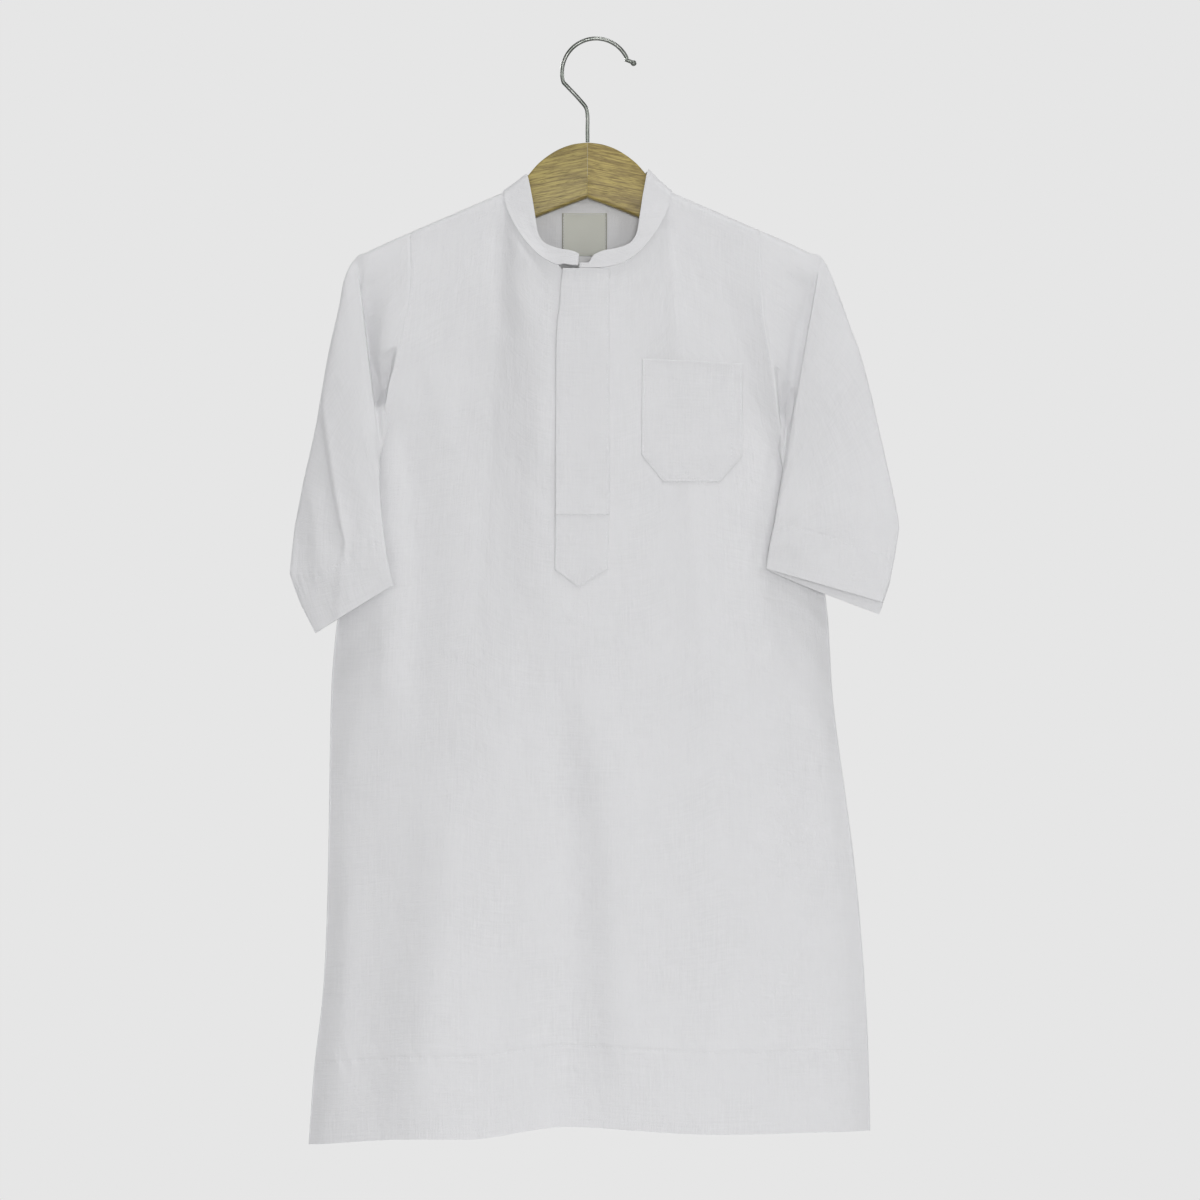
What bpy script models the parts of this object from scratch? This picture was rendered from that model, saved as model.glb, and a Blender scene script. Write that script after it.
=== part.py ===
"""A child's long white thobe on a flat wooden hanger with a steel wire hook.

Metres, +Z up, the front faces -Y. The origin is the highest point inside the hook,
where a rod bears. Left and right are as seen from the front: right is +X.
The tables below are in millimetres, and x = 0 in them is the garment's centre front.
Every cloth piece is a wall: an outer face of points worked out from the tables, and
an inner face moved in by the cloth's thickness.
"""
import math

import bpy
from mathutils import Vector

MM = 0.001

# ---- driving sizes, in millimetres ----
CENTRE_X = -6.4          # the centre front lies this far from the hook's highest point
CLOTH = 1.3              # body and sleeve wall
HEM_CLOTH = 1.9          # wall where the hem is turned up
COLLAR_CLOTH = 1.6       # stand collar, two layers
TRIM_CLOTH = 1.1         # placket and pocket wall
LABEL_CLOTH = 1.0
SEAM_GAP = 0.3
COLLAR_LIFT = 0.6        # the stand's lower edge, above the neck edges of the panels
TRIM_GAP = 0.5           # placket, pocket and label, off the panel that they lie on
HEM_ROWS = 2             # panel rows in the turned-up hem, 26 mm each
CUFF_ROWS = 3            # sleeve rings in the turned-up cuff
SEAM_TRIM = 0.18         # each panel's edge is drawn in this far at a seam
RING_TRIM = 0.21         # and the sleeve's first ring this far

WRAP_Y = 6.6             # shoulder cloth beside the hanger's rounded top edge
WRAP_DROP = 1.9          # that cloth below the ridge
SEAM_Y = 8.2             # forward shoulder seam, in front of the hanger
BACK_DROP = 6.0          # where the back starts behind the hanger, below the ridge

SHOULDER_X = 62.0        # where the collar meets the shoulder ridge
SHOULDER_Z = -113.6
SHOULDER_SLOPE = 0.43

HANGER_EDGE = 5.0        # radius of the hanger's long edges
WIRE_RADIUS = 1.5
HOOK_CENTRE = (6.4, -24.0)
HOOK_RADIUS = 25.5
HOOK_BALL = 2.2

SHOULDER_COLUMNS = 7     # panel columns across one shoulder
NECK_COLUMNS = 6         # panel columns across half the neck
ARMHOLE_ROWS = 9
SIDE_ROWS = 20
ARMHOLE_SHARE = 0.22     # part of a panel's height beside the armhole
BACK_ARMHOLE = 0.9       # the armhole's depth on the back, as a share of the front's
BACK_HEM_RISE = 7.0      # the back hem's middle above its ends
EDGE_REACH = 0.3         # share of the width over which a side edge's depth fades

# armhole seam: x, y, z from the forward shoulder seam down to the underarm
ARMHOLE_LEFT = (
    (-132.8, -8.2, -152.0),
    (-132.4, -12.0, -186.0),
    (-137.2, -14.0, -212.0),
    (-142.2, -14.5, -237.0),
    (-148.4, -12.5, -260.0),
    (-151.2, -8.0, -280.0),
    (-150.4, 1.0, -292.1),
)
ARMHOLE_RIGHT = (
    (129.1, -8.2, -152.6),
    (130.4, -12.0, -186.0),
    (132.6, -14.0, -214.0),
    (137.8, -14.5, -243.0),
    (141.6, -12.5, -272.0),
    (143.9, -7.5, -294.0),
    (144.4, 1.0, -307.1),
)

# side seam: z, x, y from the underarm down to the hem
SIDE_LEFT = (
    (-292.1, -150.4, 1.0),
    (-318.0, -155.6, 3.8),
    (-352.0, -168.0, 6.0),
    (-420.0, -184.5, 7.0),
    (-476.0, -192.0, 6.5),
    (-533.0, -193.6, 5.5),
    (-602.0, -194.6, 4.0),
    (-677.0, -196.6, 4.0),
    (-729.0, -200.2, 4.0),
    (-766.0, -205.0, 4.0),
    (-828.3, -209.6, 4.0),
)
SIDE_RIGHT = (
    (-307.1, 144.4, 1.0),
    (-330.0, 148.0, 3.6),
    (-364.0, 161.0, 6.0),
    (-421.0, 177.0, 7.0),
    (-498.0, 185.0, 6.5),
    (-576.0, 195.4, 5.5),
    (-620.0, 201.0, 4.0),
    (-663.0, 205.1, 4.0),
    (-710.0, 208.6, 4.0),
    (-757.0, 211.1, 4.0),
    (-817.8, 212.6, 4.0),
)

# front hem edge: x, z
FRONT_HEM = (
    (-209.6, -828.3),
    (-140.0, -820.4),
    (-75.0, -818.6),
    (-46.0, -813.8),
    (-20.0, -811.0),
    (25.0, -812.6),
    (66.0, -815.3),
    (110.0, -816.4),
    (166.0, -817.0),
    (212.6, -817.8),
)

# right half of the neck, from centre front over the shoulder to centre back:
# the seam's x, y, z and the collar's top edge x, y, z
NECK = (
    (0.0, -27.0, -173.0, 0.0, -16.6, -165.0),
    (12.0, -26.5, -172.2, 11.0, -16.6, -159.6),
    (24.0, -25.0, -169.4, 22.5, -16.3, -157.2),
    (34.5, -22.5, -163.4, 31.5, -15.6, -153.4),
    (44.0, -19.0, -154.0, 36.2, -14.4, -146.0),
    (53.5, -13.8, -140.0, 38.4, -12.4, -133.0),
    (60.4, -8.2, -124.1, 41.0, -9.8, -116.0),
    (61.7, -6.6, -115.5, 44.0, -7.8, -100.0),
    (62.0, 0.0, -113.6, 45.2, 0.0, -95.6),
    (61.7, 6.6, -115.5, 44.2, 7.8, -97.4),
    (60.0, 8.2, -119.6, 41.0, 9.6, -98.6),
    (51.0, 9.0, -120.2, 35.0, 10.6, -98.9),
    (41.0, 9.4, -120.6, 28.5, 11.2, -99.1),
    (31.0, 9.7, -120.8, 21.5, 11.6, -99.2),
    (21.0, 9.9, -121.0, 14.5, 11.9, -99.3),
    (10.5, 10.0, -121.0, 7.2, 12.0, -99.4),
    (0.0, 10.0, -121.0, 0.0, 12.0, -99.4),
)
NECK_SEAM = 6            # row of the forward shoulder seam
NECK_BACK = 10           # row where the back neck edge starts

# folds in the front and back: x and z at the top, x and z at the bottom,
# half width at the top and bottom, height at the top and bottom (a trough is negative)
FRONT_FOLDS = (
    (-62.0, -400.0, -118.0, -820.0, 44.0, 58.0, 0.0, 15.0),
    (-4.0, -430.0, 24.0, -820.0, 22.0, 34.0, 0.0, -9.0),
    (66.0, -430.0, 98.0, -820.0, 40.0, 52.0, 0.0, 6.0),
    (-52.0, -150.0, -38.0, -400.0, 11.0, 18.0, 2.6, 2.2),
    (-36.0, -190.0, -30.0, -330.0, 8.0, 9.0, -1.6, -1.2),
    (64.0, -150.0, 72.0, -262.0, 14.0, 18.0, 2.0, 0.8),
    (-134.0, -540.0, -158.0, -790.0, 16.0, 20.0, 0.0, -4.5),
    (150.0, -560.0, 172.0, -815.0, 18.0, 22.0, 0.0, -3.5),
)
BACK_FOLDS = (
    (-50.0, -330.0, -92.0, -820.0, 36.0, 50.0, 0.0, 11.0),
    (10.0, -360.0, -4.0, -820.0, 26.0, 36.0, 0.0, -7.0),
    (64.0, -340.0, 104.0, -820.0, 38.0, 52.0, 0.0, 12.0),
    (-128.0, -480.0, -156.0, -800.0, 18.0, 24.0, 0.0, -5.0),
    (138.0, -520.0, 166.0, -800.0, 18.0, 22.0, 0.0, -4.0),
)
# how far each panel stands out at mid width: share of the height, distance
FRONT_SWELL = ((0.0, 0.0), (0.1, 6.0), (0.2, 11.5), (0.4, 20.0), (0.7, 29.0), (1.0, 34.0))
BACK_SWELL = ((0.0, 0.0), (0.1, 2.5), (0.2, 5.0), (0.4, 8.5), (0.7, 13.0), (1.0, 17.0))

# sleeves below the fold that drops from the hanger's tip: outer edge x, y, z,
# inner edge x, y, z, half depth, how much lower the back layer lies
SLEEVE_LEFT = (
    (-173.4, -0.5, -163.2, -156.6, -8.5, -298.0, 8.0, 0.0),
    (-182.8, -4.0, -181.0, -155.6, -10.0, -309.0, 10.0, 0.0),
    (-190.4, -9.5, -226.0, -156.4, -18.0, -323.0, 10.0, 0.0),
    (-202.8, -14.0, -285.0, -156.4, -20.0, -338.0, 10.5, 0.0),
    (-211.5, -17.0, -328.0, -155.0, -24.0, -357.0, 11.0, 0.0),
    (-218.5, -20.0, -365.0, -152.0, -27.0, -377.0, 11.0, 0.0),
    (-221.6, -22.0, -396.0, -149.2, -29.0, -393.0, 11.0, 1.0),
    (-216.0, -23.0, -424.0, -147.6, -30.0, -402.0, 11.0, 2.0),
    (-203.6, -24.0, -443.5, -146.6, -31.0, -408.4, 11.0, 3.0),
)
SLEEVE_RIGHT = (
    (175.4, -0.5, -163.0, 147.3, -6.5, -307.5, 8.0, 0.0),
    (184.2, -3.5, -180.5, 146.0, -11.5, -321.0, 9.0, 0.0),
    (202.5, -8.0, -232.0, 145.2, -18.0, -333.0, 10.0, 0.0),
    (212.5, -11.0, -268.0, 142.4, -19.0, -344.0, 10.5, 1.0),
    (221.5, -14.0, -308.0, 140.0, -23.0, -357.0, 11.0, 2.0),
    (229.0, -16.0, -345.0, 137.6, -26.0, -370.0, 11.0, 4.0),
    (230.6, -18.0, -378.0, 136.0, -28.0, -381.0, 11.0, 7.0),
    (226.0, -19.0, -404.0, 135.0, -29.0, -389.0, 11.0, 9.0),
    (220.0, -20.0, -423.0, 134.6, -30.0, -395.6, 11.0, 12.0),
)
# cap between the armhole and that fold: share of the way, how deep its front dips
CAP = ((0.4, 2.5), (0.8, 7.0))
DIP_END = 0.92           # the dip ends at this share of the way down the armhole
BACK_DIP = 0.1           # the back dips this much of the front

# flat hanger, half: x, top z, bottom z, half depth
HANGER = (
    (0.0, -76.9, -118.0, 6.0),
    (12.0, -78.6, -122.4, 6.0),
    (24.0, -83.4, -127.0, 6.0),
    (36.0, -92.0, -131.8, 6.0),
    (44.6, -101.8, -135.2, 6.0),
    (52.0, -111.2, -138.4, 6.0),
    (60.0, -118.2, -141.8, 6.0),
    (72.0, -121.2, -146.2, 6.0),
    (90.0, -127.9, -151.6, 6.0),
    (110.0, -136.7, -158.0, 6.0),
    (130.0, -145.3, -164.4, 5.4),
    (150.0, -154.4, -171.0, 4.6),
    (160.0, -159.6, -174.2, 3.8),
    (166.0, -165.2, -173.4, 2.6),
)

# hook wire from the wood up to the loop, then from the loop to the tip: x, z
HOOK_STEM = ((0.0, -76.5), (0.0, -66.0), (0.0, -57.0), (-1.0, -50.6), (-6.0, -44.2), (-11.8, -37.9))
HOOK_END = ((29.0, -14.6), (31.4, -15.4))
HOOK_BALL_CENTRE = (34.6, -17.0)

# placket outline: z, left x, right x
PLACKET = (
    (-174.2, -18.4, 16.4),
    (-198.0, -20.6, 16.4),
    (-236.0, -23.2, 16.4),
    (-296.0, -23.6, 16.4),
    (-356.0, -23.8, 16.4),
    (-397.0, -24.4, 15.2),
    (-410.2, -4.8, -4.6),
)
POCKET_TOP = ((40.8, -239.6), (116.4, -243.0))
POCKET_BOTTOM = ((40.0, -331.6), (115.4, -331.6))
POCKET_CORNER = (16.5, 20.0)

# label and size tab: x from, x to, z from, z to
LABEL_BOX = (-19.2, 14.6, -160.8, -128.6)
TAB_BOX = (-7.4, 3.8, -172.0, -161.2)

# the way through the shoulder's wall over the hanger, row by row from the forward seam
WRAP_WAYS = ((0.0, 1.0, 0.0), (0.0, 0.6, -0.8), (0.0, 0.0, -1.0), (0.0, -0.6, -0.8))
SIDE_LEAN = 1.4          # the side edges are cut this much longer through the slanting wall


# ---- curves ----
def spline(rows, place):
    """A point on the smooth curve through the rows; place counts rows from 0."""
    last = len(rows) - 1
    start = min(max(int(place), 0), last - 1)
    w = place - start
    before = rows[start - 1] if start else [2 * a - b for a, b in zip(rows[0], rows[1])]
    after = rows[start + 2] if start + 2 <= last else [
        2 * a - b for a, b in zip(rows[last], rows[last - 1])
    ]
    weights = (
        (-w + 2 * w**2 - w**3) / 2,
        (2 - 5 * w**2 + 3 * w**3) / 2,
        (w + 4 * w**2 - 3 * w**3) / 2,
        (w**3 - w**2) / 2,
    )
    points = (before, rows[start], rows[start + 1], after)
    return [sum(k * p[c] for k, p in zip(weights, points)) for c in range(len(rows[0]))]


def at_key(rows, key):
    """The row at a key in the first column, which rises or falls all the way."""
    rising = rows[-1][0] > rows[0][0]
    for index in range(len(rows) - 1):
        low, high = rows[index][0], rows[index + 1][0]
        inside = key <= high if rising else key >= high
        if inside or index == len(rows) - 2:
            share = (key - low) / (high - low)
            return spline(rows, index + min(max(share, 0.0), 1.0))
    return list(rows[-1])


def blend(first, second, share):
    return [a + (b - a) * share for a, b in zip(first, second)]


def ease(share):
    share = min(max(share, 0.0), 1.0)
    return share * share * (3 - 2 * share)


# ---- the body ----
def shoulder_top(x):
    return SHOULDER_Z - SHOULDER_SLOPE * (abs(x) - SHOULDER_X)


def edge_points(armhole, side):
    """A panel's front side edge: down the armhole, then down the side seam."""
    last = len(armhole) - 1
    points = [spline(armhole, last * row / ARMHOLE_ROWS) for row in range(ARMHOLE_ROWS + 1)]
    top, bottom = side[0][0], side[-1][0]
    for row in range(1, SIDE_ROWS + 1):
        z, x, y = at_key(side, top + (bottom - top) * row / SIDE_ROWS)
        points.append([x, y, z])
    return points


def row_shares():
    """The share of the panel's height at each row."""
    upper = [ARMHOLE_SHARE * row / ARMHOLE_ROWS for row in range(ARMHOLE_ROWS + 1)]
    lower = [
        ARMHOLE_SHARE + (1 - ARMHOLE_SHARE) * row / SIDE_ROWS for row in range(1, SIDE_ROWS + 1)
    ]
    return upper + lower


def fold_height(folds, x, z):
    """How far the folds raise the cloth at a place.

    A fold with a height at its top fades out over a quarter of its length past each end.
    """
    total = 0.0
    for x0, z0, x1, z1, w0, w1, h0, h1 in folds:
        along = (z - z0) / (z1 - z0)
        fade = ease(along * 4 + 1) * (1 - ease(along * 4 - 4)) if h0 else 1.0
        along = min(max(along, 0.0), 1.0)
        middle = x0 + (x1 - x0) * along
        width = w0 + (w1 - w0) * along
        height = h0 + (h1 - h0) * along
        total += fade * height * math.exp(-(((x - middle) / width) ** 2))
    return total


def side_round(across):
    """1 at mid width, falling to 0 at the side seams like a flattened tube."""
    return (1 - abs(2 * across - 1) ** 2.8) ** (1 / 2.0)


def column_shares():
    count = 2 * (SHOULDER_COLUMNS + NECK_COLUMNS)
    return [column / count for column in range(count + 1)]


def bottom_share(across):
    """Columns gather a little towards the side seams, where the cloth turns."""
    return across - 0.045 * math.sin(2 * math.pi * across)


def panel_point(tops, bottoms, left, right, column, row, front):
    """A point of a panel, from its four edges, its swell and its folds."""
    shares = row_shares()
    down = shares[row]
    across = column_shares()[column]
    level = bottom_share(across)
    place = []
    for c in (0, 2):
        level_mix = (1 - level) if c == 0 else (1 - across)
        vertical = (1 - down) * tops[column][c] + down * bottoms[column][c]
        sideways = level_mix * left[row][c] + (1 - level_mix) * right[row][c]
        upper = level_mix * tops[0][c] + (1 - level_mix) * tops[-1][c]
        lower = level_mix * bottoms[0][c] + (1 - level_mix) * bottoms[-1][c]
        place.append(vertical + sideways - (1 - down) * upper - down * lower)
    x, z = place
    fall = (1 - down) ** 2
    y = fall * tops[column][1] + (1 - fall) * bottoms[column][1]
    for edge, near in ((left, across), (right, 1 - across)):
        straight = fall * edge[0][1] + (1 - fall) * edge[-1][1]
        y += (edge[row][1] - straight) * max(0.0, 1 - near / EDGE_REACH) ** 2
    table = FRONT_SWELL if front else BACK_SWELL
    folds = FRONT_FOLDS if front else BACK_FOLDS
    swell = at_key(table, down)[1] + fold_height(folds, x, z) * ease(down * 7)
    swell *= side_round(across)
    return (x, y - swell if front else y + swell, z)


def front_points():
    """Rows of points down the front panel's outer face."""
    neck = NECK_COLUMNS
    shoulder = SHOULDER_COLUMNS
    left = edge_points(ARMHOLE_LEFT, SIDE_LEFT)
    right = edge_points(ARMHOLE_RIGHT, SIDE_RIGHT)
    base = [list(row[:3]) for row in NECK[:NECK_SEAM + 1]]
    mirrored = [[-x, y, z] for x, y, z in base]
    tops = [blend(left[0], mirrored[-1], k / shoulder) for k in range(shoulder)]
    tops += mirrored[::-1] + base[1:]
    tops += [blend(base[-1], right[0], k / shoulder) for k in range(1, shoulder + 1)]
    bottoms = []
    for across in column_shares():
        x = left[-1][0] + (right[-1][0] - left[-1][0]) * bottom_share(across)
        bottoms.append([x, left[-1][1], at_key(FRONT_HEM, x)[1]])
    count = 2 * (neck + shoulder)
    return [
        [panel_point(tops, bottoms, left, right, c, r, True) for c in range(count + 1)]
        for r in range(len(left))
    ]


def mirror_depth(points):
    """The same edge on the back: the armhole's depth turned about the hanger's plane."""
    return [
        [x, -BACK_ARMHOLE * y if row < ARMHOLE_ROWS else y, z]
        for row, (x, y, z) in enumerate(points)
    ]


def back_points():
    """Rows of points down the back panel, from the forward shoulder seam over the top."""
    shoulder = SHOULDER_COLUMNS
    front_left = edge_points(ARMHOLE_LEFT, SIDE_LEFT)
    front_right = edge_points(ARMHOLE_RIGHT, SIDE_RIGHT)
    left = mirror_depth(front_left)
    right = mirror_depth(front_right)
    base = [list(row[:3]) for row in NECK]
    for edge, seam in ((left, front_left[0]), (right, front_right[0])):
        edge[0] = [seam[0], SEAM_Y, shoulder_top(seam[0]) - BACK_DROP]

    def shoulder_row(number):
        """Points over both shoulders at one of the wrap's rows, 0 to 4."""
        row = []
        neck_point = base[NECK_SEAM + number]
        for side, seam in ((-1, front_left[0]), (1, front_right[0])):
            inner = [side * neck_point[0], neck_point[1], neck_point[2]]
            outer = wrap_point(seam, number)
            half = [blend(outer, inner, k / shoulder) for k in range(shoulder + 1)]
            row += half if side < 0 else half[::-1]
        return row

    back_top = shoulder_row(4)
    neck_edge = base[NECK_BACK:]
    mirrored = [[-x, y, z] for x, y, z in neck_edge]
    tops = back_top[:shoulder] + mirrored + neck_edge[::-1][1:] + back_top[shoulder + 2:]
    bottoms = []
    for across in column_shares():
        x = left[-1][0] + (right[-1][0] - left[-1][0]) * bottom_share(across)
        level = left[-1][2] + (right[-1][2] - left[-1][2]) * across
        bottoms.append([x, left[-1][1], level + BACK_HEM_RISE * side_round(across)])
    count = len(tops)
    rows = []
    for number in range(4):
        half = shoulder_row(number)
        middle = [None] * (2 * NECK_COLUMNS - 1)
        rows.append(half[:shoulder + 1] + middle + half[shoulder + 1:])
    for r in range(len(left)):
        rows.append([panel_point(tops, bottoms, left, right, c, r, False) for c in range(count)])
    return rows


def wrap_point(seam, number):
    """The shoulder's cloth over the hanger, at the armhole: rows 0 to 4 from the seam."""
    x = seam[0]
    top = shoulder_top(x)
    return (
        list(seam),
        [x, -WRAP_Y, top - WRAP_DROP],
        [x, 0.0, top],
        [x, WRAP_Y, top - WRAP_DROP],
        [x, SEAM_Y, top - BACK_DROP],
    )[number]


# ---- sleeves ----
def armhole_ring(armhole, side):
    """The closed ring round an armhole: top, front, underarm, back."""
    front = edge_points(armhole, side)[:ARMHOLE_ROWS + 1]
    back = mirror_depth(front + [[0, 0, 0]])[:ARMHOLE_ROWS + 1]
    back[-1] = list(front[-1])
    seam = front[0]
    back[0] = wrap_point(seam, 4)
    ring = [wrap_point(seam, 2), wrap_point(seam, 1)] + front
    ring += back[::-1][1:] + [wrap_point(seam, 3)]
    return ring


def ring_angle(index):
    """The angle round a sleeve's section for a point of the armhole ring."""
    steps = ARMHOLE_ROWS + 2
    place = index if index <= steps else 2 * steps - index
    opening = (0.0, 14.0, 30.0)
    angle = opening[place] if place < 3 else 30.0 + 150.0 * (place - 2) / ARMHOLE_ROWS
    return math.radians(angle if index <= steps else 360.0 - angle)


def section_ring(row):
    """The ring of one row of a sleeve table."""
    outer, inner, half, drop = row[:3], row[3:6], row[6], row[7]
    ring = []
    for index in range(2 * (ARMHOLE_ROWS + 2)):
        angle = ring_angle(index)
        x, y, z = blend(outer, inner, (1 - math.cos(angle)) / 2)
        depth = half * math.copysign(abs(math.sin(angle)) ** 0.6, math.sin(angle))
        lowering = drop * max(0.0, -math.sin(angle))
        ring.append([x, y - depth, z - lowering])
    return ring


def dip_share(down):
    """How much of a cap ring's dip is reached at a share of the way down the armhole."""
    return math.sin(math.pi * min(down / DIP_END, 1.0) ** 1.3)


def sleeve_rings(armhole, side, table):
    """Rings from the armhole, over the cap and down to the cuff."""
    first = armhole_ring(armhole, side)
    fold = section_ring(table[0])
    steps = ARMHOLE_ROWS + 2
    rings = [first]
    for share, dip in CAP:
        ring = []
        for index, (start, end) in enumerate(zip(first, fold)):
            x, y, z = blend(start, end, share)
            if index <= 2 or index >= 2 * steps - 2:
                late = share**8
                level = shoulder_top(x) + start[2] - shoulder_top(start[0])
                y = start[1] + (end[1] - start[1]) * late
                z = level + (end[2] - level) * late
            elif index < steps:
                y += dip * dip_share((index - 2) / ARMHOLE_ROWS)
            elif index > steps:
                y -= BACK_DIP * dip * dip_share((2 * steps - index - 2) / ARMHOLE_ROWS)
            ring.append([x, y, z])
        rings.append(ring)
    rings += [section_ring(row) for row in table]
    return rings


# ---- solids ----
def grid_normals(rows, closed):
    """A unit normal at each point of a grid, None where the grid has no point."""
    normals = []
    height, width = len(rows), len(rows[0])
    for r in range(height):
        line = []
        for c in range(width):
            here = rows[r][c]
            if here is None:
                line.append(None)
                continue

            def near(row, column):
                if closed:
                    column %= width
                if 0 <= row < height and 0 <= column < width and rows[row][column] is not None:
                    return Vector(rows[row][column])
                return Vector(here)

            across = near(r, c + 1) - near(r, c - 1)
            down = near(r + 1, c) - near(r - 1, c)
            line.append(down.cross(across).normalized())
        normals.append(line)
    return normals


def wall(name, rows, thickness, material, closed=False, flip=False, inward=None):
    """A solid wall from a grid of outer points.

    Thickness is a number or one per row. Inward gives the way through the wall at the
    seam points, so that two pieces meet face to face there.
    """
    inward = inward or {}
    normals = grid_normals(rows, closed)
    height, width = len(rows), len(rows[0])
    outer, inner, vertices = {}, {}, []
    for r in range(height):
        depth = thickness if isinstance(thickness, (int, float)) else thickness[r]
        for c in range(width):
            if rows[r][c] is None:
                continue
            point = Vector(rows[r][c])
            normal = -normals[r][c] if flip else normals[r][c]
            outer[r, c] = len(vertices)
            vertices.append(point)
            inner[r, c] = len(vertices)
            way = Vector(inward[r, c]) if (r, c) in inward else -normal
            vertices.append(point + way * depth)
    faces = []
    sides = {}
    columns = width if closed else width - 1
    for r in range(height - 1):
        for c in range(columns):
            corners = [(r, c), (r + 1, c), (r + 1, (c + 1) % width), (r, (c + 1) % width)]
            if any(corner not in outer for corner in corners):
                continue
            if flip:
                corners.reverse()
            faces.append([outer[corner] for corner in corners])
            faces.append([inner[corner] for corner in reversed(corners)])
            for start, end in zip(corners, corners[1:] + corners[:1]):
                if (end, start) in sides:
                    del sides[end, start]
                else:
                    sides[start, end] = True
    for start, end in sides:
        faces.append([outer[end], outer[start], inner[start], inner[end]])
    return make_object(name, vertices, faces, material)


def make_object(name, vertices, faces, material):
    mesh = bpy.data.meshes.new(name)
    placed = [((p[0] + CENTRE_X) * MM, p[1] * MM, p[2] * MM) for p in vertices]
    mesh.from_pydata(placed, [], faces)
    mesh.materials.append(material)
    mesh.shade_smooth()
    mesh.set_sharp_from_angle(angle=math.radians(50))
    thing = bpy.data.objects.new(name, mesh)
    bpy.context.scene.collection.objects.link(thing)
    return thing


def finish(name, colour, roughness, metallic=0.0):
    material = bpy.data.materials.new(name)
    material.use_nodes = True
    shader = material.node_tree.nodes["Principled BSDF"]
    shader.inputs["Base Color"].default_value = (*colour, 1.0)
    shader.inputs["Roughness"].default_value = roughness
    shader.inputs["Metallic"].default_value = metallic
    return material


def trimmed(rows):
    """The grid with its top row and its side columns drawn in, to leave the seam gaps."""
    rows = [list(row) for row in rows]
    rows[0] = [draw_in(a, b, SEAM_TRIM) for a, b in zip(rows[0], rows[1])]
    for row in rows:
        row[0] = draw_in(row[0], row[1], SEAM_TRIM)
        row[-1] = draw_in(row[-1], row[-2], SEAM_TRIM)
    return rows


def draw_in(edge, inside, distance):
    if edge is None or inside is None:
        return edge
    step = Vector(inside) - Vector(edge)
    return tuple(Vector(edge) + step.normalized() * distance)


def armhole_ways(front):
    """The way through the wall at each point down an armhole edge."""
    side = 1.0 if front else -1.0
    ways = [(0.0, side, 0.0)] * (ARMHOLE_ROWS - 1)
    return ways + [(0.0, 0.7 * side, 0.7), (0.0, 0.0, 1.0)]


def panel_ways(count, width, first, front):
    """The way through a panel's wall down both side edges, from its first armhole row."""
    ways = {}
    for column, side in ((0, 1.0), (width - 1, -1.0)):
        for row, way in enumerate(armhole_ways(front)[:-2]):
            ways[first + row, column] = way
        ways[first + ARMHOLE_ROWS - 1, column] = (0.7 * side, 0.7 if front else -0.7, 0.0)
        for row in range(first + ARMHOLE_ROWS, count):
            ways[row, column] = (side * SIDE_LEAN, 0.0, 0.0)
    if first:
        for column in (0, width - 1):
            for row, way in enumerate(WRAP_WAYS):
                ways[row, column] = way
    return ways


def ring_ways():
    """The way through a sleeve's wall round its armhole ring."""
    ways = [WRAP_WAYS[2], WRAP_WAYS[1]] + armhole_ways(True)
    ways += armhole_ways(False)[::-1][1:] + [WRAP_WAYS[3]]
    return {(0, index): way for index, way in enumerate(ways)}


def hem_walls(count, thick):
    """The wall of each row: thicker in the last rows, where the edge is turned up."""
    return [CLOTH] * (count - thick) + [HEM_CLOTH] * thick


# ---- pieces that lie on a panel ----
def height_on(rows, x, z):
    """The panel's depth y at a place, read from the flat faces between its points."""
    for r in range(len(rows) - 1):
        for c in range(len(rows[0]) - 1):
            corners = (rows[r][c], rows[r][c + 1], rows[r + 1][c + 1], rows[r + 1][c])
            if any(corner is None for corner in corners):
                continue
            for a, b, d in ((0, 1, 2), (0, 2, 3)):
                depth = in_triangle(corners[a], corners[b], corners[d], x, z)
                if depth is not None:
                    return depth
    raise ValueError("no panel under x %.1f z %.1f" % (x, z))


def in_triangle(a, b, c, x, z):
    area = (b[0] - a[0]) * (c[2] - a[2]) - (c[0] - a[0]) * (b[2] - a[2])
    if abs(area) < 1e-9:
        return None
    v = ((x - a[0]) * (c[2] - a[2]) - (c[0] - a[0]) * (z - a[2])) / area
    w = ((b[0] - a[0]) * (z - a[2]) - (x - a[0]) * (b[2] - a[2])) / area
    if v < -1e-6 or w < -1e-6 or v + w > 1 + 1e-6:
        return None
    return a[1] + v * (b[1] - a[1]) + w * (c[1] - a[1])


def laid_on(name, panel, plan, gap, thickness, material):
    """A trim piece over a plan of (x, z) rows, moved out from the front panel."""
    rows = []
    for line in plan:
        rows.append([(x, height_on(panel, x, z) - gap - thickness, z) for x, z in line])
    straight = {(r, c): (0.0, 1.0, 0.0) for r in range(len(rows)) for c in range(len(rows[0]))}
    return wall(name, rows, thickness, material, inward=straight)


def placket_plan():
    rows = []
    stops = [-174.2 - 181.8 * k / 9 for k in range(10)]
    stops += [-369.6, -383.3, -397.0, -403.6, -409.6]
    for z in stops:
        z_row, left, right = at_key(PLACKET, z) if z > -397.0 else point_of_tail(z)
        rows.append([(left + (right - left) * k / 4, z) for k in range(5)])
    return rows


def point_of_tail(z):
    share = (z + 397.0) / (-410.2 + 397.0)
    start, end = PLACKET[5], PLACKET[6]
    return [z] + blend(start[1:], end[1:], share)


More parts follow.
